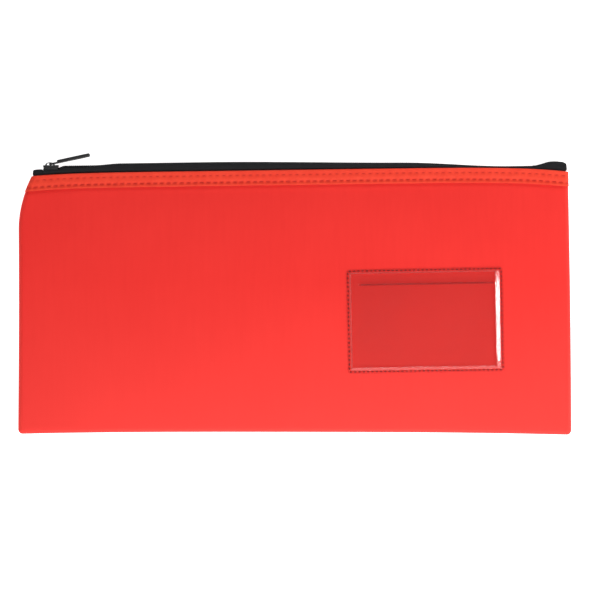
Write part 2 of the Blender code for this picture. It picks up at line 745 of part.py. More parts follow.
def build():
    remove_everything()
    parts = new_collection("zip_pouch")
    cutters = new_collection("cutters")
    finish = {name: make_material(name) for name in COLOURS}

    zip_line = bpy.data.objects.new("zip_line", None)
    zip_line.location = (0, BOTTOM_Y + BAG_HEIGHT, SEAM_PLANE)
    zip_line.rotation_euler = (0, 0, ZIP_ANGLE)
    parts.objects.link(zip_line)

    for name, side, depth in (("front", 1, front_depth), ("back", -1, back_depth)):
        make_panel(name + "_panel", side, depth, finish["neoprene"], parts)
        make_binding(name + "_binding", side, finish["binding"], parts)
        make_tape(name + "_zip_tape", side, finish["tape"], parts, zip_line)
        make_coil(name + "_zip_coil", side, finish["coil"], parts, zip_line)
        for row, below in (("upper", UPPER_ROW), ("lower", LOWER_ROW)):
            thread_name = f"{name}_binding_thread_{row}"
            make_binding_thread(thread_name, side, below, finish["red_thread"], parts)

    make_slider(finish["slider"], parts, cutters, zip_line)
    make_pull(finish["slider"], parts, cutters, zip_line)
    make_zip_ends(finish["tape"], finish["coil"], parts, zip_line)
    make_window(finish["film"], parts, cutters)
    make_window_thread(finish["red_thread"], parts)
    make_seam_threads(finish["red_thread"], parts)


build()
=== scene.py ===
"""A flat neoprene zip pouch with a card window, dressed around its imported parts.

The pouch lies on its back panel: X runs along the zip, Y from the bottom seam to the zip, Z up out of the
front panel. Heights h are measured from the bottom seam, and depths from the plane between the two panels.
"""

import json
import logging
from collections.abc import Callable, Sequence
from dataclasses import dataclass
from enum import Enum
from math import atan, atan2, ceil, cos, exp, floor, hypot, pi, radians, sin, sqrt, tau

import bmesh
import bpy
from mathutils import Matrix, Vector, noise


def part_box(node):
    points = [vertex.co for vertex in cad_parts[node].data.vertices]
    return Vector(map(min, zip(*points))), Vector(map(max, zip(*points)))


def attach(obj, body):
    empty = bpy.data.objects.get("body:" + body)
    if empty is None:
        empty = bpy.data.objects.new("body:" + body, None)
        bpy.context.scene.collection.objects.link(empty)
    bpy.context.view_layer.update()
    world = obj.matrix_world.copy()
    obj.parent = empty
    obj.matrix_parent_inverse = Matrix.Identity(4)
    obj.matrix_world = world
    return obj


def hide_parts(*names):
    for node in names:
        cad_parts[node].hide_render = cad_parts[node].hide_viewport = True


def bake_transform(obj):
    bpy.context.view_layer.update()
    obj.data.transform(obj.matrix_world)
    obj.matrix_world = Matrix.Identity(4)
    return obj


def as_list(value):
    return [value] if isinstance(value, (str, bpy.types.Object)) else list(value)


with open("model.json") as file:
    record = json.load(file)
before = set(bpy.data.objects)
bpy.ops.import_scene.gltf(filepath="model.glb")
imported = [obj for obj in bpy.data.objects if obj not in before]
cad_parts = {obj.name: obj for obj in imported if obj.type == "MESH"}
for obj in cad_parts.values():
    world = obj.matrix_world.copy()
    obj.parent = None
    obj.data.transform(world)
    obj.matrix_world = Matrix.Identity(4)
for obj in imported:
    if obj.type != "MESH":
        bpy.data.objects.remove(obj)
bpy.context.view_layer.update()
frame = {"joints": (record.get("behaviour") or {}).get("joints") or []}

LOG = logging.getLogger("pouch")

Colour = tuple[float, float, float]
Point = tuple[float, float]
Place = Callable[[int, int], Vector]
Piece = bpy.types.Object
Mesh = bmesh.types.BMesh
Number = "Wire | float"

SHARP = radians(38)
WELD = 0.000001
WEAR_PER_TURN = 1.6


class Side(Enum):
    """The half of the pouch that a piece belongs to, with the direction of its depth."""

    FRONT = 1
    BACK = -1

    @property
    def word(self) -> str:
        """The half's name as the pieces carry it."""
        return self.name.lower()


class Row(Enum):
    """The two rows of stitches that hold a binding, by their distance below its top."""

    UPPER = 0.0030
    LOWER = 0.0073


# Shader building


class Wire:
    """A value running between nodes; arithmetic on it adds Math nodes."""

    def __init__(self, recipe: "Recipe", socket: bpy.types.NodeSocket) -> None:
        """Keeps the socket and the tree that it belongs to."""
        self.recipe = recipe
        self.socket = socket

    def maths(self, operation: str, first: Number, second: Number = 0.0) -> "Wire":
        """Adds one Math node.

        Args:
            operation: the node's operation.
            first: its first value.
            second: its second value, where it has one.

        Returns:
            The result.
        """
        return self.recipe.node("ShaderNodeMath", {"operation": operation}, {0: first, 1: second})

    def __add__(self, other: Number) -> "Wire":
        """This plus another."""
        return self.maths("ADD", self, other)

    __radd__ = __add__

    def __sub__(self, other: Number) -> "Wire":
        """This less another."""
        return self.maths("SUBTRACT", self, other)

    def __rsub__(self, other: Number) -> "Wire":
        """Another less this."""
        return self.maths("SUBTRACT", other, self)

    def __mul__(self, other: Number) -> "Wire":
        """This times another."""
        return self.maths("MULTIPLY", self, other)

    __rmul__ = __mul__

    def sine(self) -> "Wire":
        """The sine of this."""
        return self.maths("SINE", self)

    def clamped(self) -> "Wire":
        """This, kept from 0 to 1."""
        return self.maths("MINIMUM", self.maths("MAXIMUM", self, 0.0), 1.0)


class Recipe:
    """The node tree of one finish."""

    def __init__(self, name: str) -> None:
        """Starts a material of this name."""
        self.material = bpy.data.materials.new(name)
        self.material.use_nodes = True
        self.tree = self.material.node_tree
        self.shader = self.tree.nodes["Principled BSDF"]
        self.place = self.node("ShaderNodeTexCoord", output="Object")

    def node(
        self,
        kind: str,
        settings: dict[str, object] | None = None,
        values: dict[int | str, object] | None = None,
        output: str | None = None,
    ) -> Wire:
        """Adds a node.

        Args:
            kind: the node's type.
            settings: its settings, set before its sockets.
            values: numbers, colours or wires for its sockets, by name or index.
            output: the name of the output wanted, or none for the first one in use.

        Returns:
            The output.
        """
        made = self.tree.nodes.new(kind)
        for key, value in (settings or {}).items():
            setattr(made, key, value)
        for key, value in (values or {}).items():
            socket = made.inputs[key] if isinstance(key, int) else self.enabled(made.inputs, key)
            self.feed(socket, value)
        return Wire(self, self.enabled(made.outputs, output))

    @staticmethod
    def enabled(sockets: Sequence[bpy.types.NodeSocket], name: str | None) -> bpy.types.NodeSocket:
        """The first socket in use, of this name if one is given."""
        return next(s for s in sockets if s.enabled and name in (None, s.name))

    def feed(self, socket: bpy.types.NodeSocket, value: object) -> None:
        """Links a wire to a socket, or sets a number or colour on it."""
        if isinstance(value, Wire):
            self.tree.links.new(value.socket, socket)
        else:
            socket.default_value = value

    def set(self, **values: object) -> None:
        """Feeds the shader's own sockets; an underscore stands for a space in a name."""
        for name, value in values.items():
            socket = self.shader.inputs[name.replace("_", " ")]
            if not isinstance(value, Wire) and socket.type == "RGBA":
                value = (*value, 1.0)
            self.feed(socket, value)

    def axes(self, place: Wire) -> tuple[Wire, Wire, Wire]:
        """The three parts of a vector."""
        split = self.tree.nodes.new("ShaderNodeSeparateXYZ")
        self.feed(split.inputs[0], place)
        return tuple(Wire(self, socket) for socket in split.outputs)

    def stretched(self, scale: tuple[float, float, float]) -> Wire:
        """The object's coordinates with each axis scaled."""
        return self.node("ShaderNodeMapping", None, {"Vector": self.place, "Scale": scale})

    def noise(self, scale: float, detail: float = 2.0, place: Wire | None = None) -> Wire:
        """Soft random values round one half."""
        values = {"Vector": place or self.place, "Scale": scale, "Detail": detail}
        return self.node("ShaderNodeTexNoise", None, values, "Fac")

    def mark(self, name: str) -> Wire:
        """A value painted on the mesh's points."""
        return self.node("ShaderNodeAttribute", {"attribute_name": name}, None, "Fac")

    def mix(self, share: Number, low: Colour | Wire, high: Colour | Wire) -> Wire:
        """A colour between two others."""
        low, high = (c if isinstance(c, Wire) else (*c, 1.0) for c in (low, high))
        values = {"Factor": share, "A": low, "B": high}
        return self.node("ShaderNodeMix", {"data_type": "RGBA"}, values)

    def bump(self, height: Wire, distance: float, strength: float) -> Wire:
        """A normal raised by a height."""
        values = {"Height": height, "Distance": distance, "Strength": strength}
        return self.node("ShaderNodeBump", None, values)


@dataclass(frozen=True)
class Jersey:
    """Neoprene faced with a fine knitted jersey."""

    colour: Colour = (0.80, 0.017, 0.013)
    faded: Colour = (0.93, 0.034, 0.026)
    # Lighter tone for painted light, on the lower panel and on the turned edges.
    painted_light_tone: Colour = (0.95, 0.052, 0.042)
    shadowed: Colour = (0.50, 0.008, 0.006)
    wale: float = 0.00062
    lower_light_below: float = 0.012
    lower_light_gain: float = 6.0
    roughness: float = 0.72
    sheen: float = 0.10

    def make(self) -> bpy.types.Material:
        """Knit loops, faint lengthways streaks and cloudy dye, with painted light on the lower panel and the
        turned edges, and painted shade under the binding.
        """
        recipe = Recipe("neoprene_jersey")
        x, y, _ = recipe.axes(recipe.place)
        loops = (x * (tau / self.wale)).sine() * (y * (tau / (self.wale * 1.3))).sine()
        cloud = recipe.noise(16.0, 3.0)
        streaks = recipe.noise(1.0, 3.0, recipe.stretched((420.0, 30.0, 420.0)))
        fibre = recipe.noise(2600.0, 2.0)
        shade = (cloud * 0.55 + streaks * 0.30 + fibre * 0.15).clamped()
        # Painted light: the cloth is coloured lighter towards the bottom of the pouch, where more light
        # falls.
        painted_lower_light = ((self.lower_light_below - y) * self.lower_light_gain).clamped()
        dyed = recipe.mix(painted_lower_light, recipe.mix(shade, self.colour, self.faded), self.painted_light_tone)
        # Painted highlight: the turned edges are coloured lighter, as where they curve into the light.
        edge = (recipe.mark("rim") * 0.15).clamped()
        # Painted shade: the cloth is coloured darker along the binding's lower lip, where the stitching draws
        # it in.
        pressed = (recipe.mark("crease") * 0.35).clamped()
        height = loops * 0.35 + fibre * 0.65 + streaks * 0.4
        recipe.set(
            Base_Color=recipe.mix(pressed, recipe.mix(edge, dyed, self.painted_light_tone), self.shadowed),
            Roughness=(fibre * 0.16 + (self.roughness - 0.08)).clamped(),
            Normal=recipe.bump(height, 0.00008, 0.55),
            Sheen_Weight=self.sheen,
            Sheen_Roughness=0.45,
            Sheen_Tint=(1.0, 0.62, 0.58),
            Specular_IOR_Level=0.28,
        )
        return recipe.material


@dataclass(frozen=True)
class Ribbon:
    """Soft ribbed binding ribbon, a little more orange than the neoprene."""

    colour: Colour = (0.82, 0.030, 0.012)
    light: Colour = (0.98, 0.070, 0.030)
    dimple_shade_tone: Colour = (0.55, 0.011, 0.004)
    rib: float = 0.0009

    def make(self) -> bpy.types.Material:
        """Fine ribs across the ribbon, brushed fibre, and painted shade in the needle dimples."""
        recipe = Recipe("binding_ribbon")
        x, y, _ = recipe.axes(recipe.place)
        wander = recipe.noise(260.0, 2.0)
        ribs = ((x + wander * 0.0006) * (tau / self.rib)).sine()
        threads = (y * (tau / 0.0007)).sine()
        fibre = recipe.noise(1500.0, 3.0)
        patches = recipe.noise(170.0, 2.0)
        shade = (patches * 0.7 + fibre * 0.3 + ribs * 0.06).clamped()
        dyed = recipe.mix(shade, self.colour, self.light)
        # Painted shade: the ribbon is coloured darker in the needle dimples.
        dimple_shade_mask = (recipe.mark("dimple") * 0.8).clamped()
        height = ribs * 0.35 + threads * 0.2 + fibre * 0.5
        recipe.set(
            Base_Color=recipe.mix(dimple_shade_mask, dyed, self.dimple_shade_tone),
            Roughness=(fibre * 0.2 + 0.55).clamped(),
            Normal=recipe.bump(height, 0.0001, 0.6),
            Sheen_Weight=0.2,
            Sheen_Roughness=0.4,
            Sheen_Tint=(1.0, 0.7, 0.6),
            Specular_IOR_Level=0.3,
        )
        return recipe.material


@dataclass(frozen=True)
class Thread:
    """Twisted sewing thread."""

    name: str
    colour: Colour
    light: Colour
    ply: float = 0.0004

    def make(self) -> bpy.types.Material:
        """Two plies twisted round each other, with loose fibre."""
        recipe = Recipe(self.name)
        x, y, z = recipe.axes(recipe.place)
        twist = ((x + y + z) * (tau / self.ply)).sine()
        fibre = recipe.noise(4000.0, 2.0)
        shade = (twist * 0.3 + fibre * 0.6 + 0.1).clamped()
        recipe.set(
            Base_Color=recipe.mix(shade, self.colour, self.light),
            Roughness=(fibre * 0.2 + 0.5).clamped(),
            Normal=recipe.bump(twist * 0.6 + fibre * 0.4, 0.00006, 0.6),
            Specular_IOR_Level=0.35,
        )
        return recipe.material


@dataclass(frozen=True)
class Weave:
    """Black woven zip tape."""

    colour: Colour = (0.006, 0.006, 0.007)
    light: Colour = (0.026, 0.026, 0.029)
    pick: float = 0.0006

    def make(self) -> bpy.types.Material:
        """A close herringbone of warp and weft with a dusting of lint."""
        recipe = Recipe("zip_tape_weave")
        x, y, z = recipe.axes(recipe.place)
        warp = ((x + y * 0.5) * (tau / self.pick)).sine()
        weft = ((y + z) * (tau / (self.pick * 1.1))).sine()
        lint = recipe.noise(900.0, 4.0)
        shade = (warp * weft * 0.25 + lint * 0.6 + 0.05).clamped()
        recipe.set(
            Base_Color=recipe.mix(shade, self.colour, self.light),
            Roughness=(lint * 0.2 + 0.7).clamped(),
            Normal=recipe.bump(warp * 0.5 + weft * 0.5 + lint * 0.4, 0.00012, 0.7),
            Sheen_Weight=0.05,
            Sheen_Roughness=0.5,
            Specular_IOR_Level=0.18,
        )
        return recipe.material


@dataclass(frozen=True)
class Nylon:
    """Drawn nylon of the zip's coils."""

    colour: Colour = (0.006, 0.006, 0.007)
    light: Colour = (0.018, 0.018, 0.020)

    def make(self) -> bpy.types.Material:
        """Smooth drawn plastic with faint draw lines and dull spots."""
        recipe = Recipe("zip_coil_nylon")
        drawn = recipe.noise(1.0, 2.0, recipe.stretched((900.0, 2400.0, 2400.0)))
        dull = recipe.noise(240.0, 3.0)
        recipe.set(
            Base_Color=recipe.mix(dull, self.colour, self.light),
            Roughness=(dull * 0.25 + 0.36).clamped(),
            Normal=recipe.bump(drawn, 0.00003, 0.4),
            Specular_IOR_Level=0.26,
        )
        return recipe.material


@dataclass(frozen=True)
class Lacquer:
    """Black lacquer over die-cast metal, rubbed through along the edges."""

    colour: Colour = (0.008, 0.008, 0.009)
    rubbed: Colour = (0.060, 0.058, 0.057)

    def make(self) -> bpy.types.Material:
        """Slightly pebbled lacquer, worn and brighter on the edges."""
        recipe = Recipe("slider_lacquer")
        cast = recipe.noise(700.0, 3.0)
        scuffs = recipe.noise(1.0, 3.0, recipe.stretched((2600.0, 900.0, 900.0)))
        wear = (recipe.mark("wear") * (scuffs * 1.5 - 0.15)).clamped()
        recipe.set(
            Base_Color=recipe.mix(wear * 0.8, self.colour, self.rubbed),
            Roughness=(cast * 0.22 + 0.26).clamped(),
            Metallic=(wear * 0.5).clamped(),
            Coat_Weight=(0.22 - wear * 0.2).clamped(),
            Coat_Roughness=0.25,
            Specular_IOR_Level=0.3,
            Normal=recipe.bump(cast * 0.7 + scuffs * 0.3, 0.00005, 0.35),
        )
        return recipe.material


@dataclass(frozen=True)
class ClearFilm:
    """Clear flexible PVC sheet: smoky, with a painted highlight where it is bent, painted shade where it is
    cut, and clearer where it is sewn.
    """

    body: Colour = (0.16, 0.004, 0.004)
    # Dark tone of the painted shade along the cut edges and the slit.
    cut: Colour = (0.24, 0.004, 0.004)
    milky_haze_and_highlight: Colour = (0.92, 0.17, 0.16)
    clear: float = 0.11
    bend_highlight_cover: float = 0.36
    cut_shade_cover: float = 0.30
    haze_cover: float = 0.05
    sewn_clear: float = 0.075

    def make(self) -> bpy.types.Material:
        """A faint smoky tint, bends whitened by a painted highlight, cut edges and the slit darkened by
        painted shade, and a high gloss with soft handling marks.
        """
        recipe = Recipe("clear_film")
        edge = recipe.mark("cut_edge")
        bend = recipe.mark("bend")
        smear = recipe.noise(1.0, 3.0, recipe.stretched((26.0, 46.0, 20.0)))
        scratch = recipe.noise(1.0, 2.0, recipe.stretched((60.0, 900.0, 60.0)))
        haze = ((smear - 0.55) * 1.2).clamped()
        # Whitish tint on the bent step walls: partly the whitening of bent film, partly a painted highlight
        # for the light lines along them. The random handling haze uses it too.
        tint = recipe.mix((bend * 1.3 + haze * 0.3).clamped(), self.body, self.milky_haze_and_highlight)
        cover = bend * self.bend_highlight_cover + edge * self.cut_shade_cover + haze * self.haze_cover + self.clear
        recipe.set(
            # The outer edge, and much more strongly the slit, are coloured dark and made less clear: partly
            # the darker look of cut film, partly painted shade.
            Base_Color=recipe.mix(edge.clamped(), tint, self.cut),
            Alpha=(cover - recipe.mark("sewn") * self.sewn_clear).clamped(),
            Roughness=(smear * 0.10 + scratch * 0.04 + 0.02).clamped(),
            Coat_Weight=1.0,
            Coat_Roughness=0.04,
            Specular_IOR_Level=0.6,
            Normal=recipe.bump(smear * 0.8 + scratch * 0.2, 0.00025, 0.25),
        )
        return recipe.material


@dataclass(frozen=True)
class Paper:
    """The white sweep that the pouch lies on."""

    colour: Colour = (0.93, 0.93, 0.93)
    light: Colour = (0.97, 0.97, 0.97)
    glow: float = 0.95

    def make(self) -> bpy.types.Material:
        """Matt white paper with hardly any tooth."""
        recipe = Recipe("white_sweep")
        tooth = recipe.noise(60.0, 3.0)
        recipe.set(
            Base_Color=recipe.mix(tooth, self.colour, self.light),
            Roughness=0.9,
            Specular_IOR_Level=0.1,
            Emission_Color=(1.0, 1.0, 1.0),
            Emission_Strength=self.glow,
        )
        return recipe.material


@dataclass(frozen=True)
class Finishes:
    """Every material of the pouch, made once and shared."""

    neoprene: bpy.types.Material
    ribbon: bpy.types.Material
    red_thread: bpy.types.Material
    window_thread: bpy.types.Material
    tape: bpy.types.Material
    coil: bpy.types.Material
    lacquer: bpy.types.Material
    film: bpy.types.Material

    @classmethod
    def make(cls) -> "Finishes":
        """Makes the set."""
        return cls(
            neoprene=Jersey().make(),
            ribbon=Ribbon().make(),
            # The binding thread is coloured darker than the ribbon it matches: painted shade for the dimples
            # that it sinks into.
            red_thread=Thread("red_thread", (0.50, 0.007, 0.003), (0.72, 0.020, 0.008)).make(),
            window_thread=Thread("dark_red_thread", (0.10, 0.002, 0.004), (0.20, 0.005, 0.008)).make(),
            tape=Weave().make(),
            coil=Nylon().make(),
            lacquer=Lacquer().make(),
            film=ClearFilm().make(),
        )


# Shared shape maths


def smoothstep(value: float) -> float:
    """An eased step from 0 to 1."""
    value = min(1.0, max(0.0, value))
    return value * value * (3 - 2 * value)


def ramp(share: float, bend: float = 0.2) -> float:
    """A straight slope from 0 to 1 with a rounded bend at either end.

    Args:
        share: how far along the slope, from 0 to 1.
        bend: the share of it that each bend takes.

    Returns:
        The height.
    """
    if share < bend:
        return share * share / (2 * bend * (1 - bend))
    if share > 1 - bend:
        return 1 - (1 - share) ** 2 / (2 * bend * (1 - bend))
    return (share - bend / 2) / (1 - bend)


def between(low: float, high: float, share: float) -> float:
    """The value a share of the way from low to high."""
    return low + (high - low) * share


def round_off(across: float, up: float) -> tuple[float, float]:
    """Moves a point of a square corner, as shares of its side, into a quarter disc."""
    return across * sqrt(1 - up * up / 2), up * sqrt(1 - across * across / 2)


def arc(centre: Point, radius: float, start: float, end: float, steps: int) -> list[Point]:
    """Points round an arc.

    Args:
        centre: its middle.
        radius: its radius.
        start: the angle of its first point.
        end: the angle of its last point.
        steps: how many pieces it has.

    Returns:
        The points, both ends included.
    """
    turn = (end - start) / steps
    return [
        (centre[0] + radius * cos(start + turn * i), centre[1] + radius * sin(start + turn * i))
        for i in range(steps + 1)
    ]


@dataclass(frozen=True)
class Layers:
    """Thicknesses and clearances of the sewn layers, and the depths that follow from them."""

    neoprene: float = 0.0020
    ribbon: float = 0.0005
    tape: float = 0.0004
    gap: float = 0.0003
    rim_wall: float = 0.00085

    @property
    def half_gap(self) -> float:
        """Half the space between the two panels' seam edges."""
        return self.gap / 2

    @property
    def rim_base(self) -> float:
        """Depth from which a turned edge rounds up to the panel's face."""
        return self.half_gap + self.rim_wall

    @property
    def tape_plane(self) -> float:
        """Depth of the tape's middle where it is sewn in."""
        return self.half_gap + self.tape / 2

    @property
    def ribbon_inner(self) -> float:
        """Depth of the ribbon's inner leaf."""
        return self.half_gap + self.tape + self.gap + self.ribbon / 2

    @property
    def mouth(self) -> float:
        """Depth of a panel's outer face under the binding."""
        return self.half_gap + self.tape + self.gap + self.ribbon + self.gap + self.neoprene

    @property
    def ribbon_lift(self) -> float:
        """How far the ribbon's outer leaf stands off the panel's face."""
        return self.gap / 2 + self.ribbon / 2


@dataclass(frozen=True)
class PouchShape:
    """The outline and swell of the pouch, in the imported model's own frame."""

    width: float
    height: float
    bottom_y: float
    seam_plane: float
    top_slope: float
    mouth_left: float
    mouth_right: float
    layers: Layers = Layers()
    left_taper: float = 0.011
    left_taper_run: float = 0.038
    right_lean: float = 0.0022
    swell: float = 0.0036
    swell_across: float = 3.4
    swell_up: float = 2.6
    left_drop: float = 0.0025
    right_drop: float = 0.0038
    left_drop_power: int = 8
    right_drop_power: int = 6
    edge_radius: float = 0.003
    binding_depth: float = 0.0095
    band_ease: float = 0.008
    bottom_arch: float = -0.0006
    bottom_lean: float = 0.0003
    corner_ear: float = 0.0015
    left_bow: float = 0.0005
    right_bow: float = 0.0004
    pinch: float = 0.0004
    pinch_run: float = 0.0015
    press: float = 0.0006
    crease_width: float = 0.0011
    crease_drop: float = 0.2
    ripple_margin: float = 0.004
    ripple_fade: float = 0.03
    broad_ripple: float = 0.00034
    fine_ripple: float = 0.00010

    @classmethod
    def from_frame(cls) -> "PouchShape":
        """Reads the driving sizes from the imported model."""
        joints = {joint["name"]: joint for joint in frame["joints"]}
        seam = joints["mouth_open"]["pos_m"]
        travel = joints["slider_travel"]
        low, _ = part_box("front_panel")
        nose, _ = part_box("slider_body")
        return cls(
            width=-2 * low.x,
            height=-2 * seam[1],
            bottom_y=seam[1],
            seam_plane=seam[2],
            top_slope=travel["axis"][1] / travel["axis"][0],
            mouth_left=nose.x,
            mouth_right=nose.x + travel["range_m"][1],
        )

    def left_edge(self, h: float) -> float:
        """X of the left side at a height."""
        rise = max(0.0, (h - self.height + self.left_taper_run) / self.left_taper_run)
        bow = self.left_bow * sin(pi * min(1.0, max(0.0, h / self.height)))
        return -self.width / 2 + self.left_taper * rise**2 + bow

    def right_edge(self, h: float) -> float:
        """X of the right side at a height."""
        bow = self.right_bow * sin(pi * min(1.0, max(0.0, h / self.height)))
        return self.width / 2 - self.right_lean * h / self.height + bow

    def end_drop(self, x: float) -> float:
        """How far the top edge dips towards the corners."""
        share = abs(2 * x / self.width)
        if x < 0:
            return self.left_drop * share**self.left_drop_power
        return self.right_drop * share**self.right_drop_power

    def binding_top(self, x: float) -> float:
        """Height of the binding's top edge."""
        return self.height + self.top_slope * x - self.end_drop(x)

    def panel_top(self, x: float) -> float:
        """Height of a panel's cut edge, inside the binding."""
        return self.binding_top(x) - self.layers.ribbon - self.layers.gap

    def crown(self, x: float, h: float) -> float:
        """Swell of the front panel: full in the middle, nothing at the seams."""
        across = (x - self.left_edge(h)) / (self.right_edge(h) - self.left_edge(h))
        up = h / (self.binding_top(x) - self.binding_depth - self.band_ease / 2)
        up = min(1.0, max(0.0, up))
        across = min(1.0, max(0.0, across))
        fall = (1 - abs(2 * across - 1) ** self.swell_across) * (1 - abs(2 * up - 1) ** self.swell_up)
        return self.swell * fall

    def ripple(self, x: float, h: float) -> float:
        """Slow hand-made unevenness of the soft panel, fading out towards its seams."""
        inside = min(x + self.width / 2, self.width / 2 - x, h, self.height - self.binding_depth - h)
        fade = smoothstep((inside - self.ripple_margin) / self.ripple_fade)
        broad = noise.noise(Vector((x * 13, h * 15, 0.4)))
        fine = noise.noise(Vector((x * 41 + 7, h * 36, 2.3)))
        return fade * (self.broad_ripple * broad + self.fine_ripple * fine)

    def front_depth(self, x: float, h: float) -> float:
        """Depth of the front panel's outer face."""
        return self.layers.mouth + self.crown(x, h) + self.ripple(x, h)

    def back_depth(self, x: float, h: float) -> float:
        """Depth of the back panel's outer face, flat on the table and eased in under the binding."""
        run = (h - self.binding_top(x) + self.binding_depth + self.band_ease) / self.band_ease
        return between(self.seam_plane, self.layers.mouth, smoothstep(run))

    def creased(self, x: float, h: float) -> float:
        """How near a point of a panel is to the binding's lower lip, where the stitching draws it in."""
        below = (self.binding_top(x) - self.binding_depth - h) / self.crease_width
        return exp(-((below - self.crease_drop) ** 2))

    def pinched(self, x: float, h: float) -> float:
        """How far a panel's side edges are squeezed in under the binding."""
        return self.pinch * smoothstep((h - self.binding_top(x) + self.binding_depth) / self.pinch_run)

    def depth(self, side: Side, x: float, h: float) -> float:
        """Depth of a half's outer face."""
        return self.front_depth(x, h) if side is Side.FRONT else self.back_depth(x, h)

    def sag(self, x: float, h: float) -> float:
        """How far the soft bottom edge pulls up in the middle and out at its corners."""
        ear = self.corner_ear * abs(2 * x / self.width) ** 3 + self.bottom_lean * 2 * x / self.width
        return (self.bottom_arch - ear) * max(0.0, 1 - h / self.height) ** 3

    def place(self, side: Side, x: float, h: float, depth: float) -> Vector:
        """The point at this x, height and depth on one half."""
        return Vector((x, self.bottom_y + h + self.sag(x, h), self.seam_plane + side.value * depth))

    def zip_place(self, along: float, up: float, out: float) -> Vector:
        """A point by its place along the zip, above it and out from its middle towards the front."""
        turn = atan(self.top_slope)
        return Vector((
            along * cos(turn) - up * sin(turn),
            self.bottom_y + self.height + along * sin(turn) + up * cos(turn),
            self.seam_plane + out,
        ))


# Shared mesh building


def shaped_grid(columns: int, rows: int, place: Place) -> Mesh:
    """A grid whose points are put where they are told.

    Args:
        columns: faces along the grid.
        rows: faces across it.
        place: gives each point's place from its column and row.

    Returns:
        The open grid.
    """
    bm = bmesh.new()
    bmesh.ops.create_grid(bm, x_segments=columns, y_segments=rows, size=1)
    for vertex in bm.verts:
        column = round((vertex.co.x + 1) / 2 * columns)
        row = round((vertex.co.y + 1) / 2 * rows)
        vertex.co = place(column, row)
    return bm


def paint(bm: Mesh, name: str, value: Callable[[bmesh.types.BMVert], float]) -> None:
    """Writes a value on every point for a material to read."""
    layer = bm.verts.layers.float.get(name) or bm.verts.layers.float.new(name)
    for vertex in bm.verts:
        vertex[layer] = value(vertex)


def paint_wear(bm: Mesh) -> None:
    """Marks the points along turned edges, where lacquer rubs through."""

    def wear(vertex: bmesh.types.BMVert) -> float:
        """How sharply the surface turns at a point."""
        turn = max((edge.calc_face_angle(0.0) for edge in vertex.link_edges), default=0.0)
        return min(1.0, turn * WEAR_PER_TURN)

    bm.normal_update()
    paint(bm, "wear", wear)


def face_up(bm: Mesh, outward: Vector) -> None:
    """Turns an open sheet so that its face nearest the middle looks outward."""
    bmesh.ops.recalc_face_normals(bm, faces=bm.faces)
    middle = min(bm.faces, key=lambda face: hypot(*face.calc_center_median().xy))
    if middle.normal.dot(outward) < 0:
        bmesh.ops.reverse_faces(bm, faces=bm.faces)


def add_piece(name: str, bm: Mesh, finish: bpy.types.Material, sharp: float = SHARP) -> Piece:
    """Makes an object of a bmesh and frees it.

    Args:
        name: the piece's name.
        bm: its mesh.
        finish: its material.
        sharp: edges that turn more than this stay crisp.

    Returns:
        The object, at the origin.
    """
    mesh = bpy.data.meshes.new(name)
    bm.to_mesh(mesh)
    bm.free()
    mesh.materials.append(finish)
    mesh.shade_smooth()
    mesh.set_sharp_from_angle(angle=sharp)
    piece = bpy.data.objects.new(name, mesh)
    bpy.context.scene.collection.objects.link(piece)
    return piece


def thicken(piece: Piece, thickness: float, offset: float, even: bool = True) -> None:
    """Gives a sheet its thickness, in the mesh itself.

    Args:
        piece: the sheet.
        thickness: how thick it gets.
        offset: 1 to grow outwards, -1 inwards, 0 both ways.
        even: whether bends keep the full thickness.
    """
    solid = piece.modifiers.new("thickness", "SOLIDIFY")
    solid.thickness = thickness
    solid.offset = offset
    solid.use_even_offset = even
    solid.use_quality_normals = True
    settle(piece)


def settle(piece: Piece) -> None:
    """Writes a piece's modifiers into its mesh."""
    graph = bpy.context.evaluated_depsgraph_get()
    graph.update()
    settled = bpy.data.meshes.new_from_object(piece.evaluated_get(graph))
    piece.modifiers.clear()
    bare = piece.data
    piece.data = settled
    bpy.data.meshes.remove(bare)
    settled.name = piece.name
    settled.shade_smooth()
    settled.set_sharp_from_angle(angle=SHARP)


def outline_shell(outlines: Sequence[Sequence[Point]], thickness: float, bevel: float) -> Mesh:
    """A flat outline with holes, as a solid with rounded edges lying in X and Y.

    Args:
        outlines: the outer loop, then any holes.
        thickness: the solid's whole thickness.
        bevel: the radius of its edges.

    Returns:
        The closed shell, centred on its thickness.
    """
    curve = bpy.data.curves.new("outline", "CURVE")
    curve.dimensions = "2D"
    curve.fill_mode = "BOTH"
    curve.extrude = thickness / 2 - bevel
    curve.bevel_depth = bevel
    curve.bevel_resolution = 2
    curve.offset = -bevel
    for points in outlines:
        spline = curve.splines.new("POLY")
        spline.points.add(len(points) - 1)
        for point, (x, y) in zip(spline.points, points):
            point.co = (x, y, 0, 1)
        spline.use_cyclic_u = True
    drawn = bpy.data.objects.new("outline", curve)
    bpy.context.scene.collection.objects.link(drawn)
    graph = bpy.context.evaluated_depsgraph_get()
    graph.update()
    flat = bpy.data.meshes.new_from_object(drawn.evaluated_get(graph))
    bpy.data.objects.remove(drawn)
    bpy.data.curves.remove(curve)
    bm = bmesh.new()
    bm.from_mesh(flat)
    bpy.data.meshes.remove(flat)
    bmesh.ops.remove_doubles(bm, verts=bm.verts, dist=WELD)
    bmesh.ops.recalc_face_normals(bm, faces=bm.faces)
    return bm


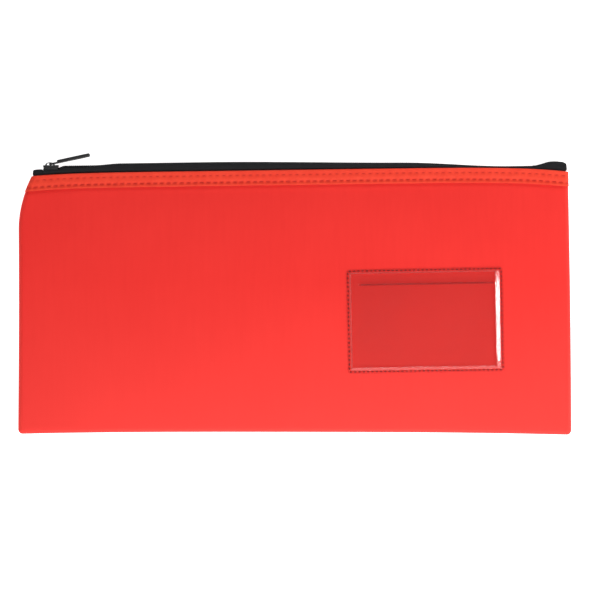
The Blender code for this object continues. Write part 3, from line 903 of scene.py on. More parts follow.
def rounded_outline(
    start: float, length: float, widths: tuple[float, float], radius: float, steps: int = 5
) -> list[Point]:
    """A four-cornered outline along X with rounded corners.

    Args:
        start: X of its first side.
        length: how long it is.
        widths: its width at either end.
        radius: its corners' radius.
        steps: pieces in each corner.

    Returns:
        Its points, anticlockwise.
    """
    corners = [
        (start, -widths[0] / 2),
        (start + length, -widths[1] / 2),
        (start + length, widths[1] / 2),
        (start, widths[0] / 2),
    ]
    points: list[Point] = []
    for index, (x, y) in enumerate(corners):
        middle = (x + (radius if index in (0, 3) else -radius), y + (radius if index < 2 else -radius))
        first = pi + index * pi / 2
        points += arc(middle, radius, first, first + pi / 2, steps)
    return points


def rounded_block(low: Vector, high: Vector, bevel: float) -> Mesh:
    """A block with rounded edges."""
    bm = bmesh.new()
    bmesh.ops.create_cube(bm, size=1)
    bmesh.ops.scale(bm, vec=high - low, verts=bm.verts)
    bmesh.ops.translate(bm, vec=(low + high) / 2, verts=bm.verts)
    bmesh.ops.bevel(bm, geom=bm.edges, offset=bevel, segments=3, affect="EDGES", profile=0.5, material=-1)
    return bm


def gather(shells: Sequence[Mesh]) -> Mesh:
    """Puts several shells into one mesh."""
    whole = bmesh.new()
    for shell in shells:
        mesh = bpy.data.meshes.new("shell")
        shell.to_mesh(mesh)
        shell.free()
        whole.from_mesh(mesh)
        bpy.data.meshes.remove(mesh)
    return whole


@dataclass(frozen=True)
class Stitch:
    """One visible stitch, a short length of thread that dives into the cloth at both ends."""

    length: float
    thickness: float

    def run(self, places: Sequence[tuple[Vector, Vector, Vector]]) -> Mesh:
        """A row of stitches.

        Args:
            places: for each stitch its middle, its direction and the way out of the cloth.

        Returns:
            All of them as one mesh.
        """
        bm = bmesh.new()
        for middle, ahead, outward in places:
            made = bmesh.ops.create_uvsphere(bm, u_segments=6, v_segments=6, radius=1)["verts"]
            aside = outward.cross(ahead).normalized()
            outward = ahead.cross(aside).normalized()
            turned = Matrix((aside, outward, ahead)).transposed().to_4x4()
            size = Matrix.Diagonal((self.thickness / 2, self.thickness / 2, self.length / 2, 1))
            bmesh.ops.transform(bm, matrix=Matrix.Translation(middle) @ turned @ size, verts=made)
        return bm


def bow_open(piece: Piece, shape: PouchShape) -> None:
    """Writes a piece of the front's placement into its mesh; nothing bows it open.

    Args:
        piece: a finished mesh with no parent.
        shape: not used.
    """
    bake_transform(piece)


def dress(piece: Piece, nodes: Sequence[str], body: str | None, shape: PouchShape) -> None:
    """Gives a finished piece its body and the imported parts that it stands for.

    Args:
        piece: the piece.
        nodes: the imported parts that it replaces.
        body: the body that it rides on, or none for cloth that crosses the mouth.
        shape: the pouch's shape.
    """
    if body is None:
        bow_open(piece, shape)
    else:
        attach(piece, body)
    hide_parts(*nodes)
    LOG.info("%s: %d faces, rides on %s", piece.name, len(piece.data.polygons), body or "root to front")


def body_for(side: Side) -> str | None:
    """The body of a half's cloth; the front's crosses the mouth's hinge."""
    return None if side is Side.FRONT else "root"


# Sub-assemblies


@dataclass
class Panels:
    """The two neoprene panels, sewn inside out and turned, with their seam threads."""

    shape: PouchShape
    finishes: Finishes
    edge_steps: int = 7
    columns: int = 150
    rows: int = 62
    band_rows: int = 16
    seam_pitch: float = 0.0032
    rim_reach: float = 0.0035

    def point(self, side: Side, column: int, row: int) -> tuple[float, float, float]:
        """Where a grid point of a panel lies, as x, height and depth."""
        shape, steps = self.shape, self.edge_steps
        columns, rows = self.columns + 2 * steps, steps + self.rows + self.band_rows
        inset = [shape.edge_radius * (1 - cos(pi / 2 * step / steps)) for step in range(steps + 1)]
        from_side = min(column, columns - column)
        at_side = from_side < steps
        across = 1 - inset[from_side] / shape.edge_radius if at_side else 0.0
        up = 1 - inset[row] / shape.edge_radius if row < steps else 0.0
        across, up = round_off(across, up)
        share = (column - steps) / self.columns
        x = between(-shape.width / 2, shape.width / 2, share)
        for _ in range(3):
            band = shape.panel_top(x) - shape.binding_depth - shape.band_ease
            if row < steps:
                h = shape.edge_radius * (1 - up)
            elif row <= rows - self.band_rows:
                h = between(shape.edge_radius, band, (row - steps) / self.rows)
            else:
                h = between(band, shape.panel_top(x), (row - rows + self.band_rows) / self.band_rows)
            squeeze = shape.pinched(x, h)
            left, right = shape.left_edge(h) + squeeze, shape.right_edge(h) - squeeze
            if at_side:
                reach = shape.edge_radius * (1 - across)
                x = left + reach if column < steps else right - reach
            else:
                x = between(left + shape.edge_radius, right - shape.edge_radius, share)
        turned = sqrt(max(0.0, 1 - across * across - up * up))
        base = shape.layers.rim_base
        full = shape.depth(side, x, h) - shape.press * shape.creased(x, h)
        return x, h, base + (full - base) * turned

    def build_panel(self, side: Side) -> Piece:
        """One panel: a shallow tray of neoprene with its three sewn edges turned in."""
        shape, steps = self.shape, self.edge_steps

        def place(column: int, row: int) -> Vector:
            """The grid point in space."""
            return shape.place(side, *self.point(side, column, row))

        bm = shaped_grid(self.columns + 2 * steps, steps + self.rows + self.band_rows, place)
        mouth = {v for v in bm.verts if v.co.y > shape.bottom_y + shape.panel_top(v.co.x) - WELD * 30}
        sewn = [e for e in bm.edges if e.is_boundary and not (e.verts[0] in mouth and e.verts[1] in mouth)]
        wall = bmesh.ops.extrude_edge_only(bm, edges=sewn)["geom"]
        for vertex in wall:
            if isinstance(vertex, bmesh.types.BMVert):
                vertex.co.z = shape.seam_plane + side.value * shape.layers.half_gap
        face_up(bm, Vector((0, 0, side.value)))

        def rim(vertex: bmesh.types.BMVert) -> float:
            """How near a point is to the turned edge, the mask of the painted rim highlight."""
            h = vertex.co.y - shape.bottom_y
            inside = min(vertex.co.x - shape.left_edge(h), shape.right_edge(h) - vertex.co.x, h)
            return 1 - smoothstep(inside / self.rim_reach)

        def crease(vertex: bmesh.types.BMVert) -> float:
            """How near a point is to the binding's lower lip, the mask of the painted shade there."""
            return shape.creased(vertex.co.x, vertex.co.y - shape.bottom_y)

        # This mark drives a painted highlight on the turned edges.
        paint(bm, "rim", rim)
        # This mark drives painted shade along the binding's lower lip.
        paint(bm, "crease", crease)
        piece = add_piece("neoprene_" + side.word, bm, self.finishes.neoprene)
        thicken(piece, shape.layers.neoprene, -1)
        return piece

    def build_seam(self, name: str, ends: Sequence[Point]) -> Piece:
        """Stitches that close one turned edge, lying in the seam plane.

        Args:
            name: the piece's name.
            ends: x and height along the seam.

        Returns:
            The row of stitches.
        """
        places = []
        for (x0, h0), (x1, h1) in zip(ends, ends[1:]):
            length = hypot(x1 - x0, h1 - h0)
            count = max(1, round(length / self.seam_pitch))
            ahead = Vector(((x1 - x0) / length, (h1 - h0) / length, 0))
            for index in range(count):
                share = (index + 0.5) / count
                middle = self.shape.place(Side.FRONT, between(x0, x1, share), between(h0, h1, share), 0)
                places.append((middle, ahead, Vector((0, 0, 1))))
        stitch = Stitch(self.seam_pitch * 0.72, 0.0004)
        return add_piece(name, stitch.run(places), self.finishes.red_thread)

    def build(self) -> dict[Side, Piece]:
        """Builds both panels and the three seams.

        Returns:
            The panels by side.
        """
        shape = self.shape
        panels = {}
        for side in Side:
            panels[side] = self.build_panel(side)
            dress(panels[side], [side.word + "_panel"], body_for(side), shape)
        inset = shape.layers.neoprene + 0.00045
        low, high = shape.edge_radius + inset, shape.height - shape.binding_depth
        heights = [between(low, high, step / 12) for step in range(13)]
        seams = {
            "left_seam": [(shape.left_edge(h) + inset, h) for h in heights],
            "right_seam": [(shape.right_edge(h) - inset, h) for h in heights],
            "bottom_seam": [(between(-1, 1, i / 12) * (shape.width / 2 - low), inset) for i in range(13)],
        }
        for name, ends in seams.items():
            dress(self.build_seam(name, ends), [name + "_thread"], "root", shape)
        return panels


@dataclass
class Bindings:
    """The folded ribbons over the two cut edges of the mouth, and their two rows of stitches."""

    shape: PouchShape
    finishes: Finishes
    inner_depth: float = 0.0065
    bend: float = 0.00035
    columns: int = 620
    outer_rows: int = 17
    inner_rows: int = 4
    wrap_steps: int = 6
    wrap: float = radians(60)
    pitch: float = 0.0042
    upper_shift: float = 0.35
    upper_strength: float = 0.42
    upper_proud: float = 0.00012
    lower_proud: float = 0.00009
    dimple_reach: float = 0.52
    dimple_width: float = 0.00078
    dimple_depth: float = 0.00046
    middle_puff: float = 0.00018
    lip_puff: float = 0.00030
    stitch: Stitch = Stitch(0.0028, 0.00060)

    def section(self) -> list[tuple[float, float, float]]:
        """The ribbon's section: distance off the panel, height from the top, and 1 outside or 0 inside."""
        layers = self.shape.layers
        top = -layers.ribbon / 2
        inner = layers.ribbon_inner - layers.mouth
        outer = layers.ribbon_lift
        rows = [(outer, between(-self.shape.binding_depth, top - self.bend, i / self.outer_rows), 1.0)
                for i in range(self.outer_rows)]
        rows += [(d, h, 1.0) for d, h in arc((outer - self.bend, top - self.bend), self.bend, 0, pi / 2, 3)]
        rows += [(d, h, 0.0) for d, h in arc((inner + self.bend, top - self.bend), self.bend, pi / 2, pi, 3)]
        rows += [(inner, between(top - self.bend, -self.inner_depth, (i + 1) / self.inner_rows), 0.0)
                 for i in range(self.inner_rows)]
        return rows

    def stitch_x(self, index: int) -> float:
        """Where the middle of a stitch is, each a hair off the even pitch."""
        return index * self.pitch + 0.00025 * noise.noise(Vector((index * 1.7, 0.3, 5.1)))

    def shift(self, row: Row) -> float:
        """How far a row's stitches are set off from those of the lower row."""
        return 0.0 if row is Row.LOWER else self.pitch * self.upper_shift

    def dimple(self, x: float, below: float) -> float:
        """How hard the stitches press the ribbon in at a point, from 0 to 1."""
        pressed = 0.0
        for row in Row:
            shift = self.shift(row)
            nearest = self.stitch_x(round((x - shift) / self.pitch)) + shift
            along = (x - nearest) / (self.stitch.length * self.dimple_reach)
            aside = (below - row.value) / self.dimple_width
            strength = 1.0 if row is Row.LOWER else self.upper_strength
            pressed = max(pressed, strength * exp(-(along**4) - aside * aside))
        return pressed

    def puff(self, x: float, below: float) -> float:
        """Soft fullness of the ribbon between its rows and along its lower lip."""
        middle = exp(-(((below - 0.0051) / 0.0012) ** 2))
        lip = exp(-(((below - 0.0090) / 0.0007) ** 2))
        uneven = 0.6 + 0.5 * noise.noise(Vector((x * 210, below * 300, 1.1)))
        return self.middle_puff * middle * uneven + self.lip_puff * lip

    def surface(self, side: Side, column: int, off: float, height: float, outer: float) -> Vector:
        """A point of the ribbon, which wraps round the turned side edges at both of its ends."""
        shape = self.shape
        steps = self.wrap_steps
        from_end = min(column, self.columns - column)
        wrapping = from_end < steps and outer > 0.5
        angle = self.wrap * (1 - from_end / steps) if wrapping else 0.0
        sign = -1 if column < self.columns / 2 else 1
        tuck = shape.edge_radius if outer > 0.5 else shape.layers.neoprene + 0.0006
        share = (column - steps) / (self.columns - 2 * steps) if outer > 0.5 else column / self.columns
        x = between(-shape.width / 2, shape.width / 2, min(1.0, max(0.0, share)))
        for _ in range(3):
            h = shape.binding_top(x) + height
            left, right = shape.left_edge(h) + tuck, shape.right_edge(h) - tuck
            if wrapping:
                reach = (shape.edge_radius + off) * sin(angle)
                x = right + reach if sign > 0 else left - reach
            else:
                x = between(left, right, min(1.0, max(0.0, share)))
        wander = 0.00016 * noise.noise(Vector((x * 60, 3.0, side.value)))
        if outer > 0.5:
            off = off + self.puff(x, -height) - self.dimple_depth * self.dimple(x, -height)
        h += wander * smoothstep(-height / shape.binding_depth)
        base = shape.layers.rim_base
        full = shape.layers.mouth + off - base
        return shape.place(side, x, h, base + full * cos(angle))

    def build_ribbon(self, side: Side) -> Piece:
        """One folded ribbon."""
        section = self.section()

        def place(column: int, row: int) -> Vector:
            """The grid point in space."""
            off, height, outer = section[row]
            return self.surface(side, column, off, height, outer)

        bm = shaped_grid(self.columns, len(section) - 1, place)

        def pressed(vertex: bmesh.types.BMVert) -> float:
            """How deep a point is in a needle dimple, the mask of the painted shade there."""
            below = self.shape.bottom_y + self.shape.binding_top(vertex.co.x) - vertex.co.y
            return self.dimple(vertex.co.x, below)

        paint(bm, "dimple", pressed)
        face_up(bm, Vector((0, 0, side.value)))
        piece = add_piece("binding_" + side.word, bm, self.finishes.ribbon)
        thicken(piece, self.shape.layers.ribbon, 0)
        return piece

    def build_row(self, side: Side, row: Row) -> Piece:
        """One row of stitches on a ribbon."""
        shape = self.shape
        shift = self.shift(row)
        outward = Vector((0, 0, side.value))
        h = shape.height - row.value
        first = ceil((shape.left_edge(h) + shape.edge_radius) / self.pitch)
        last = floor((shape.right_edge(h) - shape.edge_radius - shift) / self.pitch)
        places = []
        for index in range(first, last + 1):
            x = self.stitch_x(index) + shift
            h = shape.binding_top(x) - row.value
            lift = shape.layers.ribbon_lift + shape.layers.ribbon / 2 - self.dimple_depth
            lift += self.lower_proud if row is Row.LOWER else self.upper_proud
            lean = 0.05 * noise.noise(Vector((index * 2.9, row.value * 900, 8.0)))
            ahead = Vector((1, shape.top_slope + lean, 0)).normalized()
            places.append((shape.place(side, x, h, shape.layers.mouth + lift), ahead, outward))
        name = f"{row.name.lower()}_stitches_{side.word}"
        return add_piece(name, self.stitch.run(places), self.finishes.red_thread)

    def build(self) -> dict[Side, list[Piece]]:
        """Builds both ribbons and their stitches.

        Returns:
            The pieces by side.
        """
        made: dict[Side, list[Piece]] = {}
        for side in Side:
            ribbon = self.build_ribbon(side)
            dress(ribbon, [side.word + "_binding"], body_for(side), self.shape)
            made[side] = [ribbon]
            for row in Row:
                stitches = self.build_row(side, row)
                node = f"{side.word}_binding_thread_{row.name.lower()}"
                dress(stitches, [node], body_for(side), self.shape)
                made[side].append(stitches)
        return made


@dataclass(frozen=True)
class Slope:
    """A height that eases from one value to another along the zip."""

    first: float
    last: float
    start: float
    run: float

    def at(self, along: float) -> float:
        """The height at a place along the zip."""
        return between(self.first, self.last, smoothstep((along - self.start) / self.run))


@dataclass(frozen=True)
class TapeEnd:
    """A tape end, folded over and tacked down at a corner of the pouch."""

    name: str
    node: str
    ends: Point
    top: Slope
    half_depth: float
    square: float
    cuts: int
    foot_square: float = 9.0


@dataclass
class Zip:
    """The coil zip that stands on the mouth: two tapes, two coils, the stop and the tacked-down tape ends."""

    shape: PouchShape
    finishes: Finishes
    sewn_depth: float = 0.0080
    tape_bend: float = 0.00045
    fold_radius: float = 0.00085
    coil_width: float = 0.0026
    coil_height: float = 0.0013
    coil_pitch: float = 0.00135
    wire: float = 0.00035
    turn_steps: int = 9
    left_tail: float = 0.0028
    columns: int = 260
    tail_rise: Slope = Slope(0.0, 0.0011, -0.1498, 0.0045)
    shoulder_rise: Slope = Slope(0.0, 0.0010, -0.1275, 0.018)
    rise_kept: Slope = Slope(1.0, 0.0, -0.055, 0.14)
    roll: Slope = Slope(0.0, 0.0031, 0.068, 0.068)
    left_end: TapeEnd = TapeEnd(
        name="tape_end_left",
        node="left_tape_end",
        ends=(-0.1657, -0.1545),
        top=Slope(0.0027, 0.0009, -0.1597, 0.0005),
        half_depth=0.0030,
        square=4.0,
        cuts=21,
    )
    right_end: TapeEnd = TapeEnd(
        name="tape_end_right",
        node="right_tape_end",
        ends=(0.1460, 0.1721),
        top=Slope(0.0007, 0.0033, 0.1500, 0.0135),
        half_depth=0.0031,
        square=3.4,
        cuts=25,
    )

    def __post_init__(self) -> None:
        """Reads where the tape and the coil start and end."""
        self.left, self.right = (corner.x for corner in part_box("back_zip_tape"))
        self.left -= self.left_tail
        self.coil_left, self.coil_right = (corner.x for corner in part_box("back_zip_coil"))
        layers = self.shape.layers
        self.fold_low = layers.gap + layers.tape / 2
        self.fold_high = self.fold_low + 2 * self.fold_radius
        self.coil_base = self.fold_high + layers.tape / 2 + layers.gap * 0.2
        self.coil_edge = layers.half_gap + self.coil_width

    def lift(self, along: float) -> float:
        """How far the soft chain rises above its straight line, or rolls back below it."""
        rise = (self.tail_rise.at(along) + self.shoulder_rise.at(along)) * self.rise_kept.at(along)
        return rise - self.roll.at(along)

    def foot(self, along: float) -> float:
        """How far the binding that carries the tape has dipped."""
        return -self.shape.end_drop(along)

    def tape_section(self) -> list[Point]:
        """Section of one tape: its sewn leg, then out over the binding, and back in under the coil."""
        bend, radius = self.tape_bend, self.fold_radius
        depth = self.shape.layers.tape_plane
        leg = [(depth, between(-self.sewn_depth, self.fold_low - bend, i / 4)) for i in range(4)]
        rise = arc((depth + bend, self.fold_low - bend), bend, pi, pi / 2, 4)
        fold = arc((self.coil_edge - 0.0003, self.fold_low + radius), radius, -pi / 2, pi / 2, 10)
        return [*leg, *rise, *fold, (self.shape.layers.half_gap, self.fold_high)]

    def build_tape(self, side: Side) -> Piece:
        """One woven tape, following the chain as it rises and rolls back."""
        section = self.tape_section()

        def place(column: int, row: int) -> Vector:
            """The grid point in space."""
            out, up = section[row]
            along = between(self.left, self.right, column / self.columns)
            share = (up - self.fold_low) / (self.fold_high - self.fold_low)
            low = self.fold_low + self.foot(along) * 0.8
            high = max(low + 0.0003, self.fold_high + self.lift(along) + 0.0003)
            up = up + low - self.fold_low if share < 0 else between(low, high, share)
            bulge = 0.00012 * noise.noise(Vector((along * 120, up * 400, side.value * 3.0)))
            return self.shape.zip_place(along, up, side.value * (out + bulge * max(0.0, share)))

        bm = shaped_grid(self.columns, len(section) - 1, place)
        bmesh.ops.recalc_face_normals(bm, faces=bm.faces)
        piece = add_piece("zip_tape_" + side.word, bm, self.finishes.tape)
        thicken(piece, self.shape.layers.tape * 0.8, 0, even=False)
        return piece

    def build_coil(self, side: Side) -> Piece:
        """One coil: a drawn wire wound along the tape, flattened, its turns set between the other coil's."""
        turns = int((self.coil_right - self.coil_left) / self.coil_pitch)
        half_width, half_height = (self.coil_width + 0.0004) / 2, self.coil_height / 2
        radius = half_width - self.wire
        turn = bmesh.new()
        bmesh.ops.create_circle(turn, cap_ends=False, segments=5, radius=self.wire)
        bmesh.ops.translate(turn, vec=(0, radius, 0), verts=turn.verts)
        bmesh.ops.spin(
            turn,
            geom=turn.verts[:] + turn.edges[:],
            cent=(0, 0, 0),
            axis=(1, 0, 0),
            dvec=(self.coil_pitch / self.turn_steps, 0, 0),
            angle=tau,
            steps=self.turn_steps,
            use_merge=False,
            use_duplicate=False,
        )
        one = bpy.data.meshes.new("turn")
        turn.to_mesh(one)
        turn.free()
        bm = bmesh.new()
        for _ in range(turns):
            bm.from_mesh(one)
            one.transform(Matrix.Translation((self.coil_pitch, 0, 0)))
        bpy.data.meshes.remove(one)
        bmesh.ops.remove_doubles(bm, verts=bm.verts, dist=WELD)
        ends = [edge for edge in bm.edges if edge.is_boundary]
        bmesh.ops.holes_fill(bm, edges=ends, sides=0)
        bmesh.ops.recalc_face_normals(bm, faces=bm.faces)
        start = self.coil_left + (self.coil_pitch / 2 if side is Side.BACK else 0.0) + self.wire
        middle_out = self.shape.layers.half_gap + self.coil_width / 2 - 0.0002
        for vertex in bm.verts:
            along = start + vertex.co.x
            up = self.coil_base + half_height + vertex.co.y * half_height / half_width + self.lift(along)
            vertex.co = self.shape.zip_place(along, up, side.value * middle_out + vertex.co.z)
        return add_piece("zip_coil_" + side.word, bm, self.finishes.coil, radians(80))

    def build_end(self, end: TapeEnd) -> Piece:
        """One folded and tacked-down tape end, a cube pulled into its rounded shape."""
        bm = bmesh.new()
        bmesh.ops.create_cube(bm, size=2)
        bmesh.ops.subdivide_edges(bm, edges=bm.edges, cuts=end.cuts, use_grid_fill=True)
        middle, half = sum(end.ends) / 2, (end.ends[1] - end.ends[0]) / 2
        for vertex in bm.verts:
            square = end.square if vertex.co.y > 0 else end.foot_square
            across = sum(abs(part) ** square for part in vertex.co) ** (1 / square)
            shrunk = vertex.co * (max(abs(part) for part in vertex.co) / across)
            along = middle + half * shrunk.x
            low = self.foot(along) - 0.0001
            up = between(low, end.top.at(along), (shrunk.y + 1) / 2)
            parting = 0.00035 * exp(-((shrunk.z * end.half_depth / 0.0004) ** 2)) * max(0.0, shrunk.y)
            crease = 0.0001 * noise.noise(Vector((along * 500, up * 300, shrunk.z * 2)))
            vertex.co = self.shape.zip_place(along, up - parting + crease, end.half_depth * shrunk.z)
        bmesh.ops.recalc_face_normals(bm, faces=bm.faces)
        return add_piece(end.name, bm, self.finishes.tape, radians(80))

    def build_stop(self) -> Piece:
        """The crimped stop at the chain's end."""
        low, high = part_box("zip_end_stop")
        length = (high.x - low.x) / 2
        bm = rounded_block(
            Vector((-length, self.coil_base, -self.coil_edge)),
            Vector((length, self.coil_base + self.coil_height + 0.0001, self.coil_edge)),
            0.0004,
        )
        middle = (low.x + high.x) / 2
        for vertex in bm.verts:
            along = middle + vertex.co.x
            vertex.co = self.shape.zip_place(along, vertex.co.y + self.lift(along), vertex.co.z)
        paint_wear(bm)
        return add_piece("zip_stop", bm, self.finishes.lacquer)

    def build(self) -> None:
        """Builds the whole zip except its slider."""
        shape = self.shape
        for side in Side:
            dress(self.build_tape(side), [side.word + "_zip_tape"], body_for(side), shape)
            dress(self.build_coil(side), [side.word + "_zip_coil"], body_for(side), shape)
        dress(self.build_stop(), ["zip_end_stop"], "root", shape)
        for end in (self.left_end, self.right_end):
            dress(self.build_end(end), [end.node], "root", shape)


@dataclass
class Slider:
    """The slider with its bridge, and the pull that swings on it."""

    shape: PouchShape
    finishes: Finishes
    length: float = 0.0100
    nose_width: float = 0.0084
    tail_width: float = 0.0077
    plate: float = 0.0008
    plate_base: float = 0.0043
    lower_plate: float = 0.0007
    lower_up: float = 0.00105
    lower_width: float = 0.0056
    flange: float = 0.0007
    coil_edge: float = 0.00275
    bridge_length: float = 0.0062
    bridge_width: float = 0.0018
    bridge_wall: float = 0.0006
    bridge_hole: float = 0.00135
    hinge_from_nose: float = 0.0044
    pull_axis: float = 0.0058
    pull_angle: float = radians(11.4)
    pull_bar: float = 0.0010
    pull_length: float = 0.0260
    pull_width: float = 0.0062
    pull_tip: float = 0.0074
    pull_thickness: float = 0.0022
    grip_start: float = 0.0047

    def __post_init__(self) -> None:
        """Reads where the slider's nose is."""
        self.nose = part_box("slider_body")[0].x + 0.00005

    @property
    def on_zip(self) -> Matrix:
        """Turns a shape drawn along, up and out into the pouch's frame."""
        turn = Matrix.Rotation(atan(self.shape.top_slope), 4, "Z")
        return Matrix.Translation(self.shape.zip_place(0, 0, 0)) @ turn

    def flat(self, outlines: Sequence[Sequence[Point]], base: float, thickness: float, bevel: float) -> Mesh:
        """A plate drawn along and out, lying at a height above the zip."""
        bm = outline_shell(outlines, thickness, bevel)
        turned = Matrix.Translation((0, base + thickness / 2, 0)) @ Matrix.Rotation(pi / 2, 4, "X")
        bmesh.ops.transform(bm, matrix=turned, verts=bm.verts)
        return bm

    def top_outline(self) -> list[Point]:
        """The slider's plate from above: a broad nose with rounded shoulders, waisted to the tail."""
        half_nose, half_tail = self.nose_width / 2, self.tail_width / 2
        start, end = self.nose, self.nose + self.length
        upper = [
            *arc((start + 0.0016, half_nose - 0.0016), 0.0016, pi, pi / 2, 6),
            (start + 0.0030, half_nose),
            (start + 0.0048, half_tail + 0.0001),
            *arc((end - 0.0008, half_tail - 0.0008), 0.0008, pi / 2, 0, 5),
        ]
        return [(x, -z) for x, z in upper] + list(reversed(upper))

    def build_body(self) -> Piece:
        """Two plates, the post between them, the flanges beside the coils, and the bridge."""
        start, end = self.nose, self.nose + self.length
        top = self.flat([self.top_outline()], self.plate_base, self.plate, 0.00022)
        lower_outline = rounded_outline(start, self.length, (self.lower_width, self.lower_width), 0.0012)
        lower = self.flat([lower_outline], self.lower_up, self.lower_plate, 0.0002)
        post = rounded_block(
            Vector((start + 0.0004, self.lower_up + 0.0002, -0.0011)),
            Vector((start + 0.0026, self.plate_base + 0.0002, 0.0011)),
            0.0003,
        )
        shells = [top, lower, post]
        for sign in (-1, 1):
            inner = self.coil_edge + 0.0002
            near, far = sorted((sign * inner, sign * (inner + self.flange)))
            shells.append(rounded_block(
                Vector((start + 0.0004, self.plate_base - 0.0019, near)),
                Vector((end - 0.0005, self.plate_base + 0.0003, far)),
                0.00018,
            ))
        foot, hole = self.bridge_length / 2, self.bridge_length / 2 - 0.0011
        middle, base = start + self.hinge_from_nose, self.plate_base + self.plate - 0.0003
        rise = self.bridge_hole + self.bridge_wall + 0.0003
        steps = [pi * i / 18 for i in range(19)]
        outer_arch = [(middle + foot * cos(a), base + rise * sin(a) ** 0.75) for a in steps]
        crown = base + 0.0003 + self.bridge_hole
        inner_arch = [
            (middle - hole, base + 0.0002),
            (middle + hole, base + 0.0002),
            *arc((middle + hole - 0.0008, crown - 0.0008), 0.0008, 0, pi / 2, 5),
            *arc((middle - hole + 0.0008, crown - 0.0008), 0.0008, pi / 2, pi, 5),
        ]
        shells.append(outline_shell([outer_arch, inner_arch], self.bridge_width, 0.00025))
        bm = gather(shells)
        bmesh.ops.transform(bm, matrix=self.on_zip, verts=bm.verts)
        paint_wear(bm)
        return add_piece("zip_slider", bm, self.finishes.lacquer)

    def build_pull(self) -> Piece:
        """A flat tongue with an eye at one end and a thick recessed grip at the other."""
        start = -self.pull_bar / 2
        widths = (self.pull_width, self.pull_tip)
        neck = (self.pull_width, self.pull_width)
        outer = rounded_outline(start, self.grip_start + 0.0020 - start, neck, 0.0009)
        eye_start, eye_width = self.pull_bar / 2, self.bridge_width + 0.0006
        eye_length = self.grip_start - 0.0010 - eye_start
        eye = rounded_outline(eye_start, eye_length, (eye_width, eye_width), 0.0003)
        ring = self.flat([outer, eye], -self.pull_bar / 2, self.pull_bar, 0.0003)
        grip_length = self.pull_length - self.grip_start
        body = rounded_outline(self.grip_start, grip_length, widths, 0.0017, 7)
        slot = rounded_outline(self.pull_length - 0.0125, 0.0100, (0.0030, 0.0034), 0.0014, 6)
        grip = self.flat([body, slot], -self.pull_bar / 2 - 0.0001, self.pull_thickness, 0.00045)
        web_widths = (widths[0] - 0.0012, widths[1] - 0.0012)
        web = rounded_outline(self.grip_start + 0.0008, grip_length - 0.0016, web_widths, 0.0010)
        middle_web = self.flat([web], self.pull_thickness / 2 - self.pull_bar / 2 - 0.00035, 0.0007, 0.00015)
        lip = rounded_block(
            Vector((self.pull_length - 0.0034, -self.pull_bar / 2 - 0.00010, -self.pull_tip / 2 + 0.0010)),
            Vector((self.pull_length - 0.0008, -self.pull_bar / 2 + 0.0003, self.pull_tip / 2 - 0.0010)),
            0.00025,
        )
        bm = gather([ring, grip, middle_web, lip])
        turned = (
            self.on_zip
            @ Matrix.Translation((self.nose + self.hinge_from_nose, self.pull_axis, 0))
            @ Matrix.Rotation(self.pull_angle, 4, "Z")
        )
        bmesh.ops.transform(bm, matrix=turned, verts=bm.verts)
        paint_wear(bm)
        return add_piece("zip_pull", bm, self.finishes.lacquer)

    def build(self) -> None:
        """Builds the slider and its pull."""
        dress(self.build_body(), ["slider_body"], "slider", self.shape)
        dress(self.build_pull(), ["pull_tab"], "pull", self.shape)


